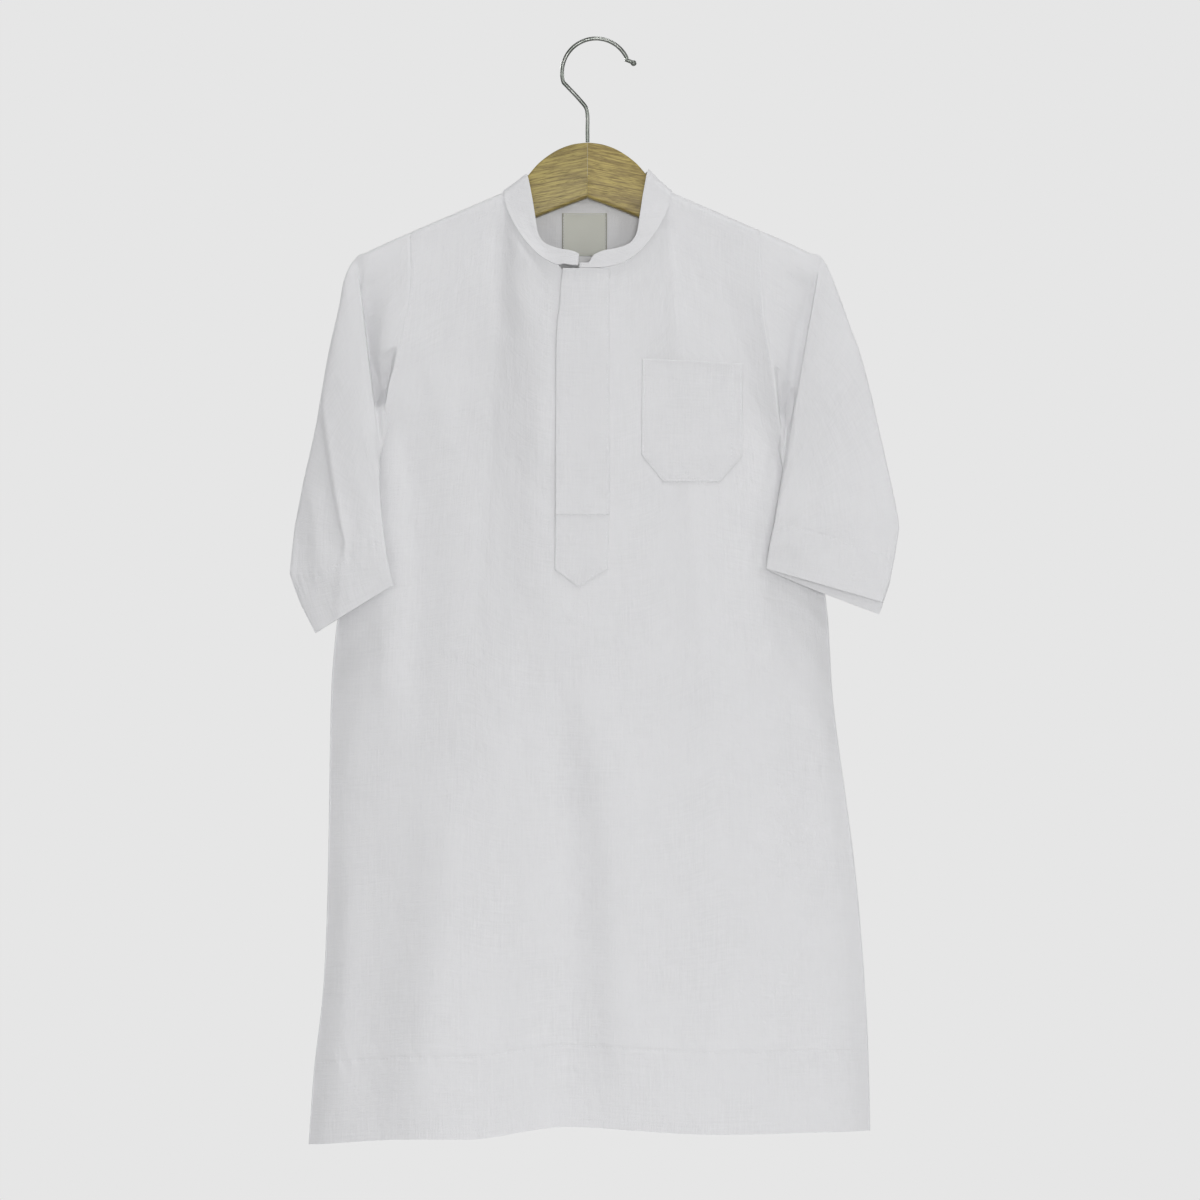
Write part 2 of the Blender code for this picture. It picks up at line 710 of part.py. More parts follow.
def pocket_plan():
    rows = []
    cut_x, cut_z = POCKET_CORNER
    for k in range(10):
        share = k / 9
        left = blend(POCKET_TOP[0], POCKET_BOTTOM[0], share)
        right = blend(POCKET_TOP[1], POCKET_BOTTOM[1], share)
        rise = max(0.0, left[1] - (POCKET_BOTTOM[0][1] + cut_z))
        inset = 0.0 if rise > 0 else cut_x * (1 - (left[1] - POCKET_BOTTOM[0][1]) / cut_z)
        line = []
        for n in range(8):
            x, z = blend([left[0] + inset, left[1]], [right[0] - inset, right[1]], n / 7)
            line.append((x, z))
        rows.append(line)
    return rows


# ---- collar ----
def collar():
    """The stand band from one front end round the neck to the other."""
    right = [list(row) for row in NECK]
    left = [[-row[0], row[1], row[2], -row[3], row[4], row[5]] for row in NECK]
    opening = 6.9
    start = spline_at_x(left, opening)
    loop = [start] + left[1:] + right[::-1][1:] + [mirror_start(right, opening)]
    rows = []
    for share in (0.0, 0.34, 0.67, 1.0):
        line = []
        for row in loop:
            base, top = Vector(row[:3]), Vector(row[3:])
            lift = (top - base).normalized() * COLLAR_LIFT * (1 - share)
            line.append(tuple(base.lerp(top, share) + lift))
        rows.append(line)
    return rows


def spline_at_x(rows, x):
    share = x / abs(rows[1][0])
    row = blend(rows[0], rows[1], share)
    return row


def mirror_start(rows, x):
    """The right end, carried past the centre to meet the left end."""
    row = blend(rows[0], rows[1], -(x - 0.5) / abs(rows[1][0]))
    row[1], row[2], row[4], row[5] = rows[0][1], rows[0][2], rows[0][4], rows[0][5]
    return row


def level_ways(rows):
    """The collar's lower edge is cut level, clear of the panels' edges below it."""
    ways = {}
    for column, normal in enumerate(grid_normals(rows, False)[0]):
        level = Vector((-normal.x, -normal.y, 0.0)).normalized()
        ways[0, column] = tuple(level)
    return ways


# ---- hanger ----
def hanger_section(top, bottom, half):
    """A board's section with rounded long edges: y, z."""
    edge = min(HANGER_EDGE, (top - bottom) * 0.4, half * 0.8)
    section = []
    for centre_y, centre_z, first in (
        (half - edge, top - edge, 0),
        (-half + edge, top - edge, 90),
        (-half + edge, bottom + edge, 180),
        (half - edge, bottom + edge, 270),
    ):
        for step in range(4):
            angle = math.radians(first + 30 * step)
            section.append((centre_y + edge * math.cos(angle), centre_z + edge * math.sin(angle)))
    return section


def hanger_half(name, side, material):
    vertices, faces = [], []
    for number, (x, top, bottom, half) in enumerate(HANGER):
        inset = SEAM_GAP / 2 if number == 0 else 0.0
        for y, z in hanger_section(top, bottom, half):
            vertices.append((side * (x + inset), y, z))
    count = len(vertices) // len(HANGER)
    for station in range(len(HANGER) - 1):
        for k in range(count):
            a = station * count + k
            b = station * count + (k + 1) % count
            face = [a, b, b + count, a + count]
            faces.append(face if side > 0 else face[::-1])
    first = list(range(count))
    last = [len(vertices) - count + k for k in range(count)]
    faces.append(first[::-1] if side > 0 else first)
    faces.append(last if side > 0 else last[::-1])
    return make_object(name, vertices, faces, material)


def hook_path():
    points = [spline(HOOK_STEM, 5 * k / 14) for k in range(15)]
    for k in range(1, 26):
        angle = math.radians(197.0 - 172.0 * (k - 1) / 24)
        x = HOOK_CENTRE[0] + HOOK_RADIUS * math.cos(angle)
        z = HOOK_CENTRE[1] + HOOK_RADIUS * math.sin(angle)
        points.append((x, z))
    points += HOOK_END
    return points


def hook(name, material):
    """The wire, with a small ball at its tip."""
    path = [Vector((x, 0.0, z)) for x, z in hook_path()]
    radii = [WIRE_RADIUS] * len(path)
    tip = Vector((HOOK_BALL_CENTRE[0], 0.0, HOOK_BALL_CENTRE[1]))
    ahead = (tip - path[-1]).normalized()
    for angle in (150, 120, 90, 60, 30, 8):
        turn = math.radians(angle)
        path.append(tip + ahead * HOOK_BALL * math.cos(turn))
        radii.append(HOOK_BALL * math.sin(turn))
    sides = 8
    vertices, faces = [], []
    for index, point in enumerate(path):
        before = path[max(index - 1, 0)]
        after = path[min(index + 1, len(path) - 1)]
        along = (after - before).normalized()
        outward = Vector((0.0, 1.0, 0.0))
        beside = outward.cross(along)
        for k in range(sides):
            turn = 2 * math.pi * k / sides
            offset = (outward * math.cos(turn) + beside * math.sin(turn)) * radii[index]
            vertices.append(point + offset)
    for index in range(len(path) - 1):
        for k in range(sides):
            a = index * sides + k
            b = index * sides + (k + 1) % sides
            faces.append([a, a + sides, b + sides, b])
    faces.append(list(range(sides)))
    faces.append([len(vertices) - 1 - k for k in range(sides)])
    return make_object(name, vertices, faces, material)


def flat_piece(name, box, panel_rows, inside_wall, material):
    """A label on the inside of the back panel."""
    x0, x1, z0, z1 = box
    rows = []
    for r in range(4):
        z = z1 + (z0 - z1) * r / 3
        line = []
        for c in range(5):
            x = x0 + (x1 - x0) * c / 4
            line.append((x, height_on(panel_rows, x, z) - inside_wall - TRIM_GAP - LABEL_CLOTH, z))
        rows.append(line)
    return wall(name, rows, LABEL_CLOTH, material)


# ---- assembly ----
def clear_scene():
    for thing in list(bpy.data.objects):
        bpy.data.objects.remove(thing)


def build():
    clear_scene()
    white = finish("white_poplin", (0.83, 0.84, 0.87), 0.85)
    woven = finish("woven_label", (0.62, 0.58, 0.47), 0.8)
    beech = finish("oiled_beech", (0.36, 0.27, 0.12), 0.5)
    steel = finish("steel_wire", (0.35, 0.36, 0.34), 0.3, 1.0)

    front = front_points()
    back = back_points()
    front_rows = trimmed(front)
    back_rows = trimmed(back)
    width = len(front_rows[0])
    front_ways = panel_ways(len(front_rows), width, 0, True)
    back_ways = panel_ways(len(back_rows), width, 4, False)
    front_walls = hem_walls(len(front_rows), HEM_ROWS + 1)
    back_walls = hem_walls(len(back_rows), HEM_ROWS + 1)
    wall("front_panel", front_rows, front_walls, white, inward=front_ways)
    wall("back_panel", back_rows, back_walls, white, flip=True, inward=back_ways)

    for name, armhole, side, table, flip in (
        ("sleeve_left", ARMHOLE_LEFT, SIDE_LEFT, SLEEVE_LEFT, False),
        ("sleeve_right", ARMHOLE_RIGHT, SIDE_RIGHT, SLEEVE_RIGHT, True),
    ):
        rings = sleeve_rings(armhole, side, table)
        rings[0] = [draw_in(a, b, RING_TRIM) for a, b in zip(rings[0], rings[1])]
        thickness = hem_walls(len(rings), CUFF_ROWS)
        wall(name, rings, thickness, white, closed=True, flip=flip, inward=ring_ways())

    band = collar()
    wall("collar", band, COLLAR_CLOTH, white, inward=level_ways(band))
    laid_on("front_placket", front_rows, placket_plan(), TRIM_GAP, TRIM_CLOTH, white)
    laid_on("chest_pocket", front_rows, pocket_plan(), TRIM_GAP, TRIM_CLOTH, white)
    flat_piece("neck_label", LABEL_BOX, back_rows, CLOTH, woven)
    flat_piece("size_tab", TAB_BOX, back_rows, CLOTH, white)

    hanger_half("hanger_left", -1, beech)
    hanger_half("hanger_right", 1, beech)
    hook("hanger_hook", steel)


build()
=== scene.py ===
# %% [markdown]
# # A child's white thobe on a wooden hanger
# A thobe is a long, straight shirt that falls from the shoulders to the shins. This one
# is a child's, in plain white cotton poplin, with a low stand collar, a covered front
# strip called a placket, one chest pocket and elbow-length sleeves. It hangs from a flat
# wooden hanger with a wire hook. We build it as thin cloth, in the order in which it
# would be sewn: body, sleeves, collar, trims, then the stitches that hold them.

import math

import bpy
import numpy as np
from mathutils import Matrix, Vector
from mathutils.bvhtree import BVHTree


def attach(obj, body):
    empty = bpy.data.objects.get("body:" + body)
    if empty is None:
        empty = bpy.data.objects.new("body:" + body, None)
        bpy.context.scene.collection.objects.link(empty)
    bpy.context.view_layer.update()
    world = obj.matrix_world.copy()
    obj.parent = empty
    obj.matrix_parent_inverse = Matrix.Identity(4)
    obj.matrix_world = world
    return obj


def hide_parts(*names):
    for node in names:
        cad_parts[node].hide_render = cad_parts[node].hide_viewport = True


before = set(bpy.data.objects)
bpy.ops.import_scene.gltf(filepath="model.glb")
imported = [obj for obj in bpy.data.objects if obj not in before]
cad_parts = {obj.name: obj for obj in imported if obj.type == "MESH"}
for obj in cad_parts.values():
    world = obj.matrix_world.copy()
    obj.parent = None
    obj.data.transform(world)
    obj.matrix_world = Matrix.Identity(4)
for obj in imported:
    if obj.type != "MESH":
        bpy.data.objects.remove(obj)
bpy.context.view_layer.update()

# %% [markdown]
# ## The garment's sizes
# A pattern cutter writes a garment down as a few measured points: where the armhole
# runs, how wide the side is at each height, the curve of the neck. We do the same. All
# tables are in millimetres, with x = 0 at the centre front, y forwards as negative and
# z = 0 at the highest point inside the hook. Left and right are as seen from the front.

# %% Sizes in millimetres
MM = 0.001
CENTRE_X = -6.4
SHOULDER_X, SHOULDER_Z, SHOULDER_SLOPE = 62.0, -113.6, 0.43
# the shoulder's cloth goes over the hanger in a few rows, down to a line behind it
WRAP_Y, WRAP_DROP, WRAP_ROWS = 6.6, 1.9, 4
SEAM_Y, BACK_DROP = 8.2, 6.0
# columns over each shoulder and each half of the neck, rows along the armhole and the side
SHOULDER_COLUMNS, NECK_COLUMNS = 7, 6
ARMHOLE_ROWS, SIDE_ROWS = 9, 20
# the armhole's share of the height, and how far the shape of a side reaches across
ARMHOLE_SHARE, SIDE_REACH, NECK_RISE = 0.22, 0.3, 18.8
DEPTH_REACH = (0.14, 0.14, 0.14, 0.14, 0.14, 0.13, 0.12, 0.105, 0.09, 0.075, 0.07, 0.07, 0.08, 0.1, 0.12)
BACK_ARMHOLE, BACK_HEM_RISE = 0.9, 7.0
DIP_END, BACK_DIP = 0.92, 0.1
# rows of the neck's table: the shoulder seam, and the back panel's own edge
NECK_SEAM, NECK_BACK = 6, 10
print("the shoulders rise to", SHOULDER_Z, "and the body's middle is at x =", CENTRE_X)

# %% Armholes and side seams
# armhole seam: x, y, z from the shoulder down to the underarm
ARMHOLE_LEFT = (
    (-132.8, -8.2, -152),
    (-132.4, -12, -186),
    (-137.2, -14, -212),
    (-142.2, -14.5, -237),
    (-148.4, -13.2, -260),
    (-151.2, -10.8, -280),
    (-150.4, -7, -292.1),
)
ARMHOLE_RIGHT = (
    (129.1, -8.2, -152.6),
    (130.4, -12, -186),
    (132.6, -14, -214),
    (137.8, -14.5, -243),
    (141.6, -13.2, -272),
    (143.9, -10.4, -294),
    (144.4, -6.5, -307.1),
)
# side seam: z, x, y from the underarm down to the hem
SIDE_LEFT = (
    (-292.1, -150.4, -7),
    (-300, -154.8, -5),
    (-318, -162, -2),
    (-352, -172.5, 3),
    (-420, -186, 7),
    (-476, -192, 6.5),
    (-533, -193.6, 5.5),
    (-602, -194.6, 4),
    (-677, -196.6, 4),
    (-729, -200.2, 4),
    (-766, -205, 4),
    (-828.3, -209.6, 4),
)
SIDE_RIGHT = (
    (-307.1, 144.4, -6.5),
    (-315, 149, -4.5),
    (-332, 156.5, -1.5),
    (-364, 167.5, 3),
    (-421, 179.5, 7),
    (-498, 185, 6.5),
    (-576, 195.4, 5.5),
    (-620, 201, 4),
    (-663, 205.1, 4),
    (-710, 208.6, 4),
    (-757, 211.1, 4),
    (-817.8, 212.6, 4),
)
print("the underarms lie at", ARMHOLE_LEFT[-1][2], "and", ARMHOLE_RIGHT[-1][2])

# %% Hem, neck, folds and swell
# front hem edge: x, z
FRONT_HEM = (
    (-209.6, -828.3),
    (-140, -820.4),
    (-75, -818.6),
    (-46, -813.8),
    (-20, -811),
    (25, -812.6),
    (66, -815.3),
    (110, -816.4),
    (166, -817),
    (212.6, -817.8),
)
# right half of the neck, centre front to centre back: seam x, y, z, collar top x, y, z
NECK = (
    (0, -27, -173, 0, -22.5, -165),
    (12, -26.5, -172.2, 11, -22.4, -159.6),
    (24, -25, -169.4, 22.5, -21.6, -157.2),
    (34.5, -22.5, -163.4, 31.5, -19.6, -153.4),
    (44, -19, -154, 36.2, -16.8, -146),
    (53.5, -13.8, -140, 38.4, -13.2, -133),
    (60.4, -8.2, -124.1, 41, -9.8, -116),
    (61.7, -6.6, -115.5, 44, -7.8, -100),
    (62, 0, -113.6, 45.2, 0, -95.6),
    (61.7, 6.6, -115.5, 44.2, 7.8, -97.4),
    (60, 8.2, -119.6, 41, 9.6, -98.6),
    (51, 9, -120.2, 35, 10.6, -98.9),
    (41, 9.4, -120.6, 28.5, 11.2, -99.1),
    (31, 9.7, -120.8, 21.5, 11.6, -99.2),
    (21, 9.9, -121, 14.5, 11.9, -99.3),
    (10.5, 10, -121, 7.2, 12, -99.4),
    (0, 10, -121, 0, 12, -99.4),
)
# large folds: x, z at the top, x, z at the bottom, half widths, heights
FRONT_FOLDS = (
    (-62, -400, -118, -820, 44, 60, 0, 12),
    (-14, -430, -12, -820, 20, 26, 0, -3.5),
    (66, -430, 98, -820, 40, 52, 0, 6),
    (-52, -150, -38, -400, 11, 18, 2.6, 2.2),
    (-36, -190, -30, -330, 9, 10, -0.9, -0.6),
    (64, -150, 72, -262, 14, 18, 2, 0.8),
    (-134, -540, -158, -790, 18, 24, 0, -2.4),
    (150, -560, 172, -815, 20, 26, 0, -2.4),
)
BACK_FOLDS = (
    (-50, -330, -92, -820, 36, 50, 0, 11),
    (10, -360, -4, -820, 26, 36, 0, -7),
    (64, -340, 104, -820, 38, 52, 0, 12),
    (-128, -480, -156, -800, 18, 24, 0, -5),
    (138, -520, 166, -800, 18, 22, 0, -4),
)
# how far a panel stands out at mid width: share of its height, distance
FRONT_SWELL = ((0.0, 0.0), (0.1, 6.0), (0.2, 11.5), (0.4, 20.0), (0.7, 29.0), (1.0, 34.0))
BACK_SWELL = ((0.0, 0.0), (0.1, 2.5), (0.2, 5.0), (0.4, 8.5), (0.7, 13.0), (1.0, 17.0))
print("the hem is", FRONT_HEM[-1][0] - FRONT_HEM[0][0], "mm wide")

# %% Sleeves
# sections: outer edge x, y, z, inner edge x, y, z, half depth, back layer's drop
SLEEVE_LEFT = (
    (-173.4, -0.5, -163.2, -154.8, -9, -314, 7, 0),
    (-182.8, -3, -181, -154.8, -11, -322, 7.5, 0),
    (-190.4, -6, -226, -154.8, -13, -332, 7, 0),
    (-202.4, -8, -285, -154, -14.5, -345, 6, 0),
    (-212, -9, -328, -152.6, -15.8, -361, 5.5, 0),
    (-219.8, -10, -366, -150.4, -17, -379, 5, 0),
    (-223.3, -10.5, -399.5, -148.2, -17.8, -393, 4, 0),
    (-214.9, -12, -422.6, -146.2, -18, -402, 3, 0.2),
    (-203.6, -13.5, -444.2, -144.8, -18, -408.4, 2.3, 0.4),
)
SLEEVE_RIGHT = (
    (175.4, -0.5, -163, 146.4, -8.5, -322, 7, 0),
    (184.2, -3, -180.5, 145, -11, -330, 7.5, 0),
    (202.8, -6, -232, 143.2, -13.5, -340, 7, 0),
    (212.7, -8, -268, 141.2, -15.5, -350, 6, 0.6),
    (221.7, -9.5, -308, 139.4, -17, -361, 5.5, 1.4),
    (230.4, -11, -349, 136.9, -18, -372, 5, 3),
    (232.9, -11.5, -365.5, 135.4, -18.5, -380, 4, 5),
    (226.3, -12, -404, 134, -18.5, -389, 3, 7.5),
    (220.2, -12.5, -421.2, 133.2, -18.5, -396.2, 2.2, 10),
)
# the cap's dip at two shares of the way from the armhole to the first section
CAP_LEFT = ((0.4, -1.0), (0.8, 1.8))
CAP_RIGHT = ((0.4, 2.5), (0.8, 7.0))
print("the sleeves end at", SLEEVE_LEFT[-1][2], "and", SLEEVE_RIGHT[-1][2])

# %% [markdown]
# ## Curves through the measured places
# A tailor lays a flexible curve along the measured points and draws round it. Our
# flexible curve is a Catmull-Rom spline: it passes through every point and takes its
# direction from the neighbours, so a table of seven points gives a smooth armhole.


# %% Curves
def spline_shares(w):
    """How much each of four points in a row counts, at w between the second and the third."""
    return (
        (-w + 2 * w**2 - w**3) / 2,
        (2 - 5 * w**2 + 3 * w**3) / 2,
        (w + 4 * w**2 - 3 * w**3) / 2,
        (w**3 - w**2) / 2,
    )


def spline(rows, place):
    """A point on the smooth curve through the rows; place counts rows from 0."""
    last = len(rows) - 1
    start = min(max(int(place), 0), last - 1)
    w = place - start
    before = rows[start - 1] if start else [2 * a - b for a, b in zip(rows[0], rows[1])]
    beyond = [2 * a - b for a, b in zip(rows[last], rows[last - 1])]
    after = rows[start + 2] if start + 2 <= last else beyond
    points = (before, rows[start], rows[start + 1], after)
    shares = spline_shares(w)
    return [sum(k * p[c] for k, p in zip(shares, points)) for c in range(len(rows[0]))]


def at_key(rows, key):
    """The row at a key in the first column, which rises or falls all the way."""
    rising = rows[-1][0] > rows[0][0]
    for index in range(len(rows) - 1):
        low, high = rows[index][0], rows[index + 1][0]
        inside = key <= high if rising else key >= high
        if inside or index == len(rows) - 2:
            share = (key - low) / (high - low)
            return spline(rows, index + min(max(share, 0.0), 1.0))
    return list(rows[-1])


def blend(first, second, share):
    return [a + (b - a) * share for a, b in zip(first, second)]


def ease(share):
    """0 below 0, 1 above 1, and a soft rise between."""
    share = np.clip(share, 0.0, 1.0)
    return share * share * (3 - 2 * share)


def bell(distance, width):
    """1 at no distance, falling away softly on both sides."""
    return np.exp(-((distance / width) ** 2))


def smooth_at(points, places, closed=False):
    """Points of the smooth curve, or sheet, through an array, at places along its first axis."""
    count = len(points)
    if closed:
        padded = np.concatenate([points[-1:], points, points[:2]])
        start = np.clip(np.floor(places).astype(int), 0, count - 1)
    else:
        ends = 2 * points[:1] - points[1:2], 2 * points[-1:] - points[-2:-1]
        padded = np.concatenate([ends[0], points, ends[1]])
        start = np.clip(np.floor(places).astype(int), 0, count - 2)
    w = (places - start).reshape(-1, *[1] * (points.ndim - 1))
    return sum(padded[start + k] * share for k, share in enumerate(spline_shares(w)))


def places_for(steps):
    """Places along a curve with so many steps in each span."""
    parts = [index + np.arange(n) / n for index, n in enumerate(steps)]
    return np.concatenate(parts + [[float(len(steps))]])


print("half way down the left armhole:", [round(v, 1) for v in spline(ARMHOLE_LEFT, 3.0)])

# %% [markdown]
# ## The body's two panels
# Front and back are each one piece of cloth, and we know the four edges of each. Seen
# from the front, an inner point lies between the points above and below it on the top
# and the bottom edge; close to a side it is drawn to the side edge. Its depth follows
# the side edges too, but over a shorter reach, and widens into the curve of the neck.
# Then the cloth swells out as it falls, and the large folds come on top.

# %% The edges of a panel
LAST_COLUMN = 2 * (SHOULDER_COLUMNS + NECK_COLUMNS)
COLUMNS = [c / LAST_COLUMN for c in range(LAST_COLUMN + 1)]
ROWS = [ARMHOLE_SHARE * row / ARMHOLE_ROWS for row in range(ARMHOLE_ROWS + 1)] + [
    ARMHOLE_SHARE + (1 - ARMHOLE_SHARE) * row / SIDE_ROWS for row in range(1, SIDE_ROWS + 1)
]
HEM_GATHER = 0.045


def shoulder_top(x):
    return SHOULDER_Z - SHOULDER_SLOPE * (abs(x) - SHOULDER_X)


def side_edge(armhole, side):
    """A panel's front side edge: down the armhole, then down the side seam."""
    last = len(armhole) - 1
    points = [spline(armhole, last * row / ARMHOLE_ROWS) for row in range(ARMHOLE_ROWS + 1)]
    top, bottom = side[0][0], side[-1][0]
    for row in range(1, SIDE_ROWS + 1):
        z, x, y = at_key(side, top + (bottom - top) * row / SIDE_ROWS)
        points.append([x, y, z])
    return points


def mirror_depth(points):
    """The same edge on the back, its depth turned about the hanger's plane."""
    return [
        [x, -BACK_ARMHOLE * y if row < ARMHOLE_ROWS else y, z]
        for row, (x, y, z) in enumerate(points)
    ]


def wrap_point(seam, number):
    """The shoulder's cloth over the hanger, at the armhole: rows 0 to 4 from the seam."""
    x = seam[0]
    top = shoulder_top(x)
    return (
        list(seam),
        [x, -WRAP_Y, top - WRAP_DROP],
        [x, 0.0, top],
        [x, WRAP_Y, top - WRAP_DROP],
        [x, SEAM_Y, top - BACK_DROP],
    )[number]


def hem_edge(left, right, level):
    """A panel's bottom edge; its columns gather a little towards the side seams."""
    points = []
    for across in COLUMNS:
        share = across - HEM_GATHER * math.sin(2 * math.pi * across)
        x = left[-1][0] + (right[-1][0] - left[-1][0]) * share
        points.append([x, left[-1][1], level(x, across)])
    return points


front_left = side_edge(ARMHOLE_LEFT, SIDE_LEFT)
front_right = side_edge(ARMHOLE_RIGHT, SIDE_RIGHT)
print("each side edge has", len(front_left), "points, and there are", len(COLUMNS), "columns")

# %% Swell, folds and inner points
NECK_SPREAD, NECK_FADE = 0.2, 7


def fold_height(folds, x, z):
    """How far the large folds raise the cloth at a place."""
    total = 0.0
    for x0, z0, x1, z1, w0, w1, h0, h1 in folds:
        along = (z - z0) / (z1 - z0)
        fade = ease(along * 4 + 1) * (1 - ease(along * 4 - 4)) if h0 else 1.0
        along = min(max(along, 0.0), 1.0)
        middle = x0 + (x1 - x0) * along
        width = w0 + (w1 - w0) * along
        height = h0 + (h1 - h0) * along
        total += fade * height * bell(x - middle, width)
    return total


def side_round(across):
    """1 at mid width, falling to 0 at the side seams like a flattened tube."""
    out = abs(2 * across - 1)
    return 0.32 * (1 - out**2.8) ** 0.5 + 0.68 * (1 - out**2)


def panel_point(tops, bottoms, left, right, column, row, front):
    """A point of a panel, from its four edges, its swell and its folds."""
    down, across = ROWS[row], COLUMNS[column]
    x, _, z = blend(tops[column], bottoms[column], down)
    fall = (1 - down) ** 2
    top_y = tops[column][1]
    if front:
        # below the neck its curve in depth widens into a soft rise
        soft = NECK_RISE * bell(across - 0.5, NECK_SPREAD)
        top_y += (tops[0][1] - soft - top_y) * ease(down * NECK_FADE)
    y = fall * top_y + (1 - fall) * bottoms[column][1]
    reach = DEPTH_REACH[row] if row < len(DEPTH_REACH) else DEPTH_REACH[0]
    for edge, near in ((left, across), (right, 1 - across)):
        straight = blend(edge[0], edge[-1], down)
        pull = max(0.0, 1 - near / SIDE_REACH) ** 2
        x += (edge[row][0] - straight[0]) * pull
        z += (edge[row][2] - straight[2]) * pull
        level_y = fall * edge[0][1] + (1 - fall) * edge[-1][1]
        y += (edge[row][1] - level_y) * max(0.0, 1 - near / reach) ** 2
    table, folds = (FRONT_SWELL, FRONT_FOLDS) if front else (BACK_SWELL, BACK_FOLDS)
    swell = at_key(table, down)[1] + fold_height(folds, x, z) * ease(down * NECK_FADE)
    swell *= side_round(across)
    return (x, y - swell if front else y + swell, z)


def panel_rows(tops, bottoms, left, right, front):
    return [
        [panel_point(tops, bottoms, left, right, c, r, front) for c in range(LAST_COLUMN + 1)]
        for r in range(len(left))
    ]


print("a quarter of the way across, the swell is", round(side_round(0.25), 2), "of its height")

# %% The plans of front and back
def front_points():
    """Rows of points down the front panel's outer face."""
    base = [list(row[:3]) for row in NECK[:NECK_SEAM + 1]]
    mirrored = [[-x, y, z] for x, y, z in base]
    n = SHOULDER_COLUMNS
    tops = [blend(front_left[0], mirrored[-1], k / n) for k in range(n)]
    tops += mirrored[::-1] + base[1:]
    tops += [blend(base[-1], front_right[0], k / n) for k in range(1, n + 1)]
    bottoms = hem_edge(front_left, front_right, lambda x, across: at_key(FRONT_HEM, x)[1])
    return np.array(panel_rows(tops, bottoms, front_left, front_right, True))


def shoulder_row(number):
    """One of the five rows over the shoulders, its left half and its right half."""
    halves = []
    for side, seam in ((-1, front_left[0]), (1, front_right[0])):
        x, y, z = NECK[NECK_SEAM + number][:3]
        near, far = wrap_point(seam, number), [side * x, y, z]
        half = [blend(near, far, k / SHOULDER_COLUMNS) for k in range(SHOULDER_COLUMNS + 1)]
        halves.append(half if side < 0 else half[::-1])
    return halves


def back_points():
    """Rows down the back panel from the forward shoulder seam; nan across the neck."""
    left, right = mirror_depth(front_left), mirror_depth(front_right)
    left[0] = wrap_point(front_left[0], WRAP_ROWS)
    right[0] = wrap_point(front_right[0], WRAP_ROWS)
    neck_edge = [list(row[:3]) for row in NECK[NECK_BACK:]]
    mirrored = [[-x, y, z] for x, y, z in neck_edge]
    top_left, top_right = shoulder_row(WRAP_ROWS)
    tops = top_left[:-1] + mirrored + neck_edge[::-1][1:] + top_right[1:]
    rise = right[-1][2] - left[-1][2]

    def level(x, across):
        return left[-1][2] + rise * across + BACK_HEM_RISE * side_round(across)

    bottoms = hem_edge(left, right, level)
    gap = [[math.nan] * 3] * (2 * NECK_COLUMNS - 1)
    over = [shoulder_row(number) for number in range(WRAP_ROWS)]
    rows = [first + gap + second for first, second in over]
    return np.array(rows + panel_rows(tops, bottoms, left, right, False))


front_plan, back_plan = front_points(), back_points()
print("front panel:", front_plan.shape, "back panel:", back_plan.shape)

# %% [markdown]
# ## Soft creases
# Poplin is crisp: where it is pulled it makes long, shallow troughs and ridges with one
# gentle side and one quicker side. We place each as a path with two widths and
# a height, uneven in length, depth and spacing. A seam line is the same thing, very
# narrow and sunk by half a millimetre, with small puckers beside it.


# %% Creases, seam grooves and puckers
def beside_path(x, z, path, endless=False):
    """Distance from a path of (x, z) points, the side, and the share of its length."""
    path = np.array(path, float)
    steps = np.diff(path, axis=0)
    lengths = np.hypot(steps[:, 0], steps[:, 1])
    ends = np.concatenate([[0.0], np.cumsum(lengths)]) / lengths.sum()
    nearest = np.full(x.shape, 1e9)
    side, along = np.zeros(x.shape), np.zeros(x.shape)
    for k, ((px, pz), (dx, dz), length) in enumerate(zip(path, steps, lengths)):
        low = -99 if endless and k == 0 else 0
        high = 99 if endless and k == len(steps) - 1 else 1
        t = np.clip(((x - px) * dx + (z - pz) * dz) / length**2, low, high)
        away_x, away_z = x - px - t * dx, z - pz - t * dz
        away = np.hypot(away_x, away_z)
        closer = away < nearest
        nearest = np.where(closer, away, nearest)
        side = np.where(closer, away_x * dz - away_z * dx, side)
        along = np.where(closer, ends[k] + t * (ends[k + 1] - ends[k]), along)
    return nearest, side, along


def crease(x, z, path, left_width, right_width, height, fade=0.22):
    """The height of a soft crease along a path, at many places at once."""
    nearest, side, along = beside_path(x, z, path)
    width = np.where(side > 0, left_width, right_width)
    ends_fade = ease(along / fade) * ease((1 - along) / fade) if fade else 1.0
    return height * bell(nearest, width) * ends_fade


def creases(x, z, table):
    return sum(crease(x, z, *row) for row in table)


def ripple(x, z, across, down, seed):
    """Gentle unevenness, a few long waves of the given lengths added up, from -1 to 1."""
    rng = np.random.default_rng(seed)
    total = np.zeros(x.shape)
    for k in range(6):
        tilt, phase = rng.uniform(-0.5, 0.5), rng.uniform(0, 2 * math.pi)
        stretch = rng.uniform(0.7, 1.5)
        wave = x / (across * stretch) + z / (down * stretch) * (1 + tilt)
        total += np.sin(2 * math.pi * wave * (1 if k % 2 else -1) + phase)
    return total / 6


def pucker(x, z, path, pitch, reach, height, seed):
    """Small gathers across a row of stitches."""
    near = crease(x, z, path, reach, reach, 1.0, 0.0)
    rng = np.random.default_rng(seed)
    waves = [math.sin(k) for k in rng.uniform(0, 9, 3)]
    run = x * 0.94 + z * 0.34
    rows = [np.sin(2 * math.pi * run / (pitch * (1 + 0.23 * k)) + w * 5) for k, w in enumerate(waves)]
    return height * near * sum(rows) / 3


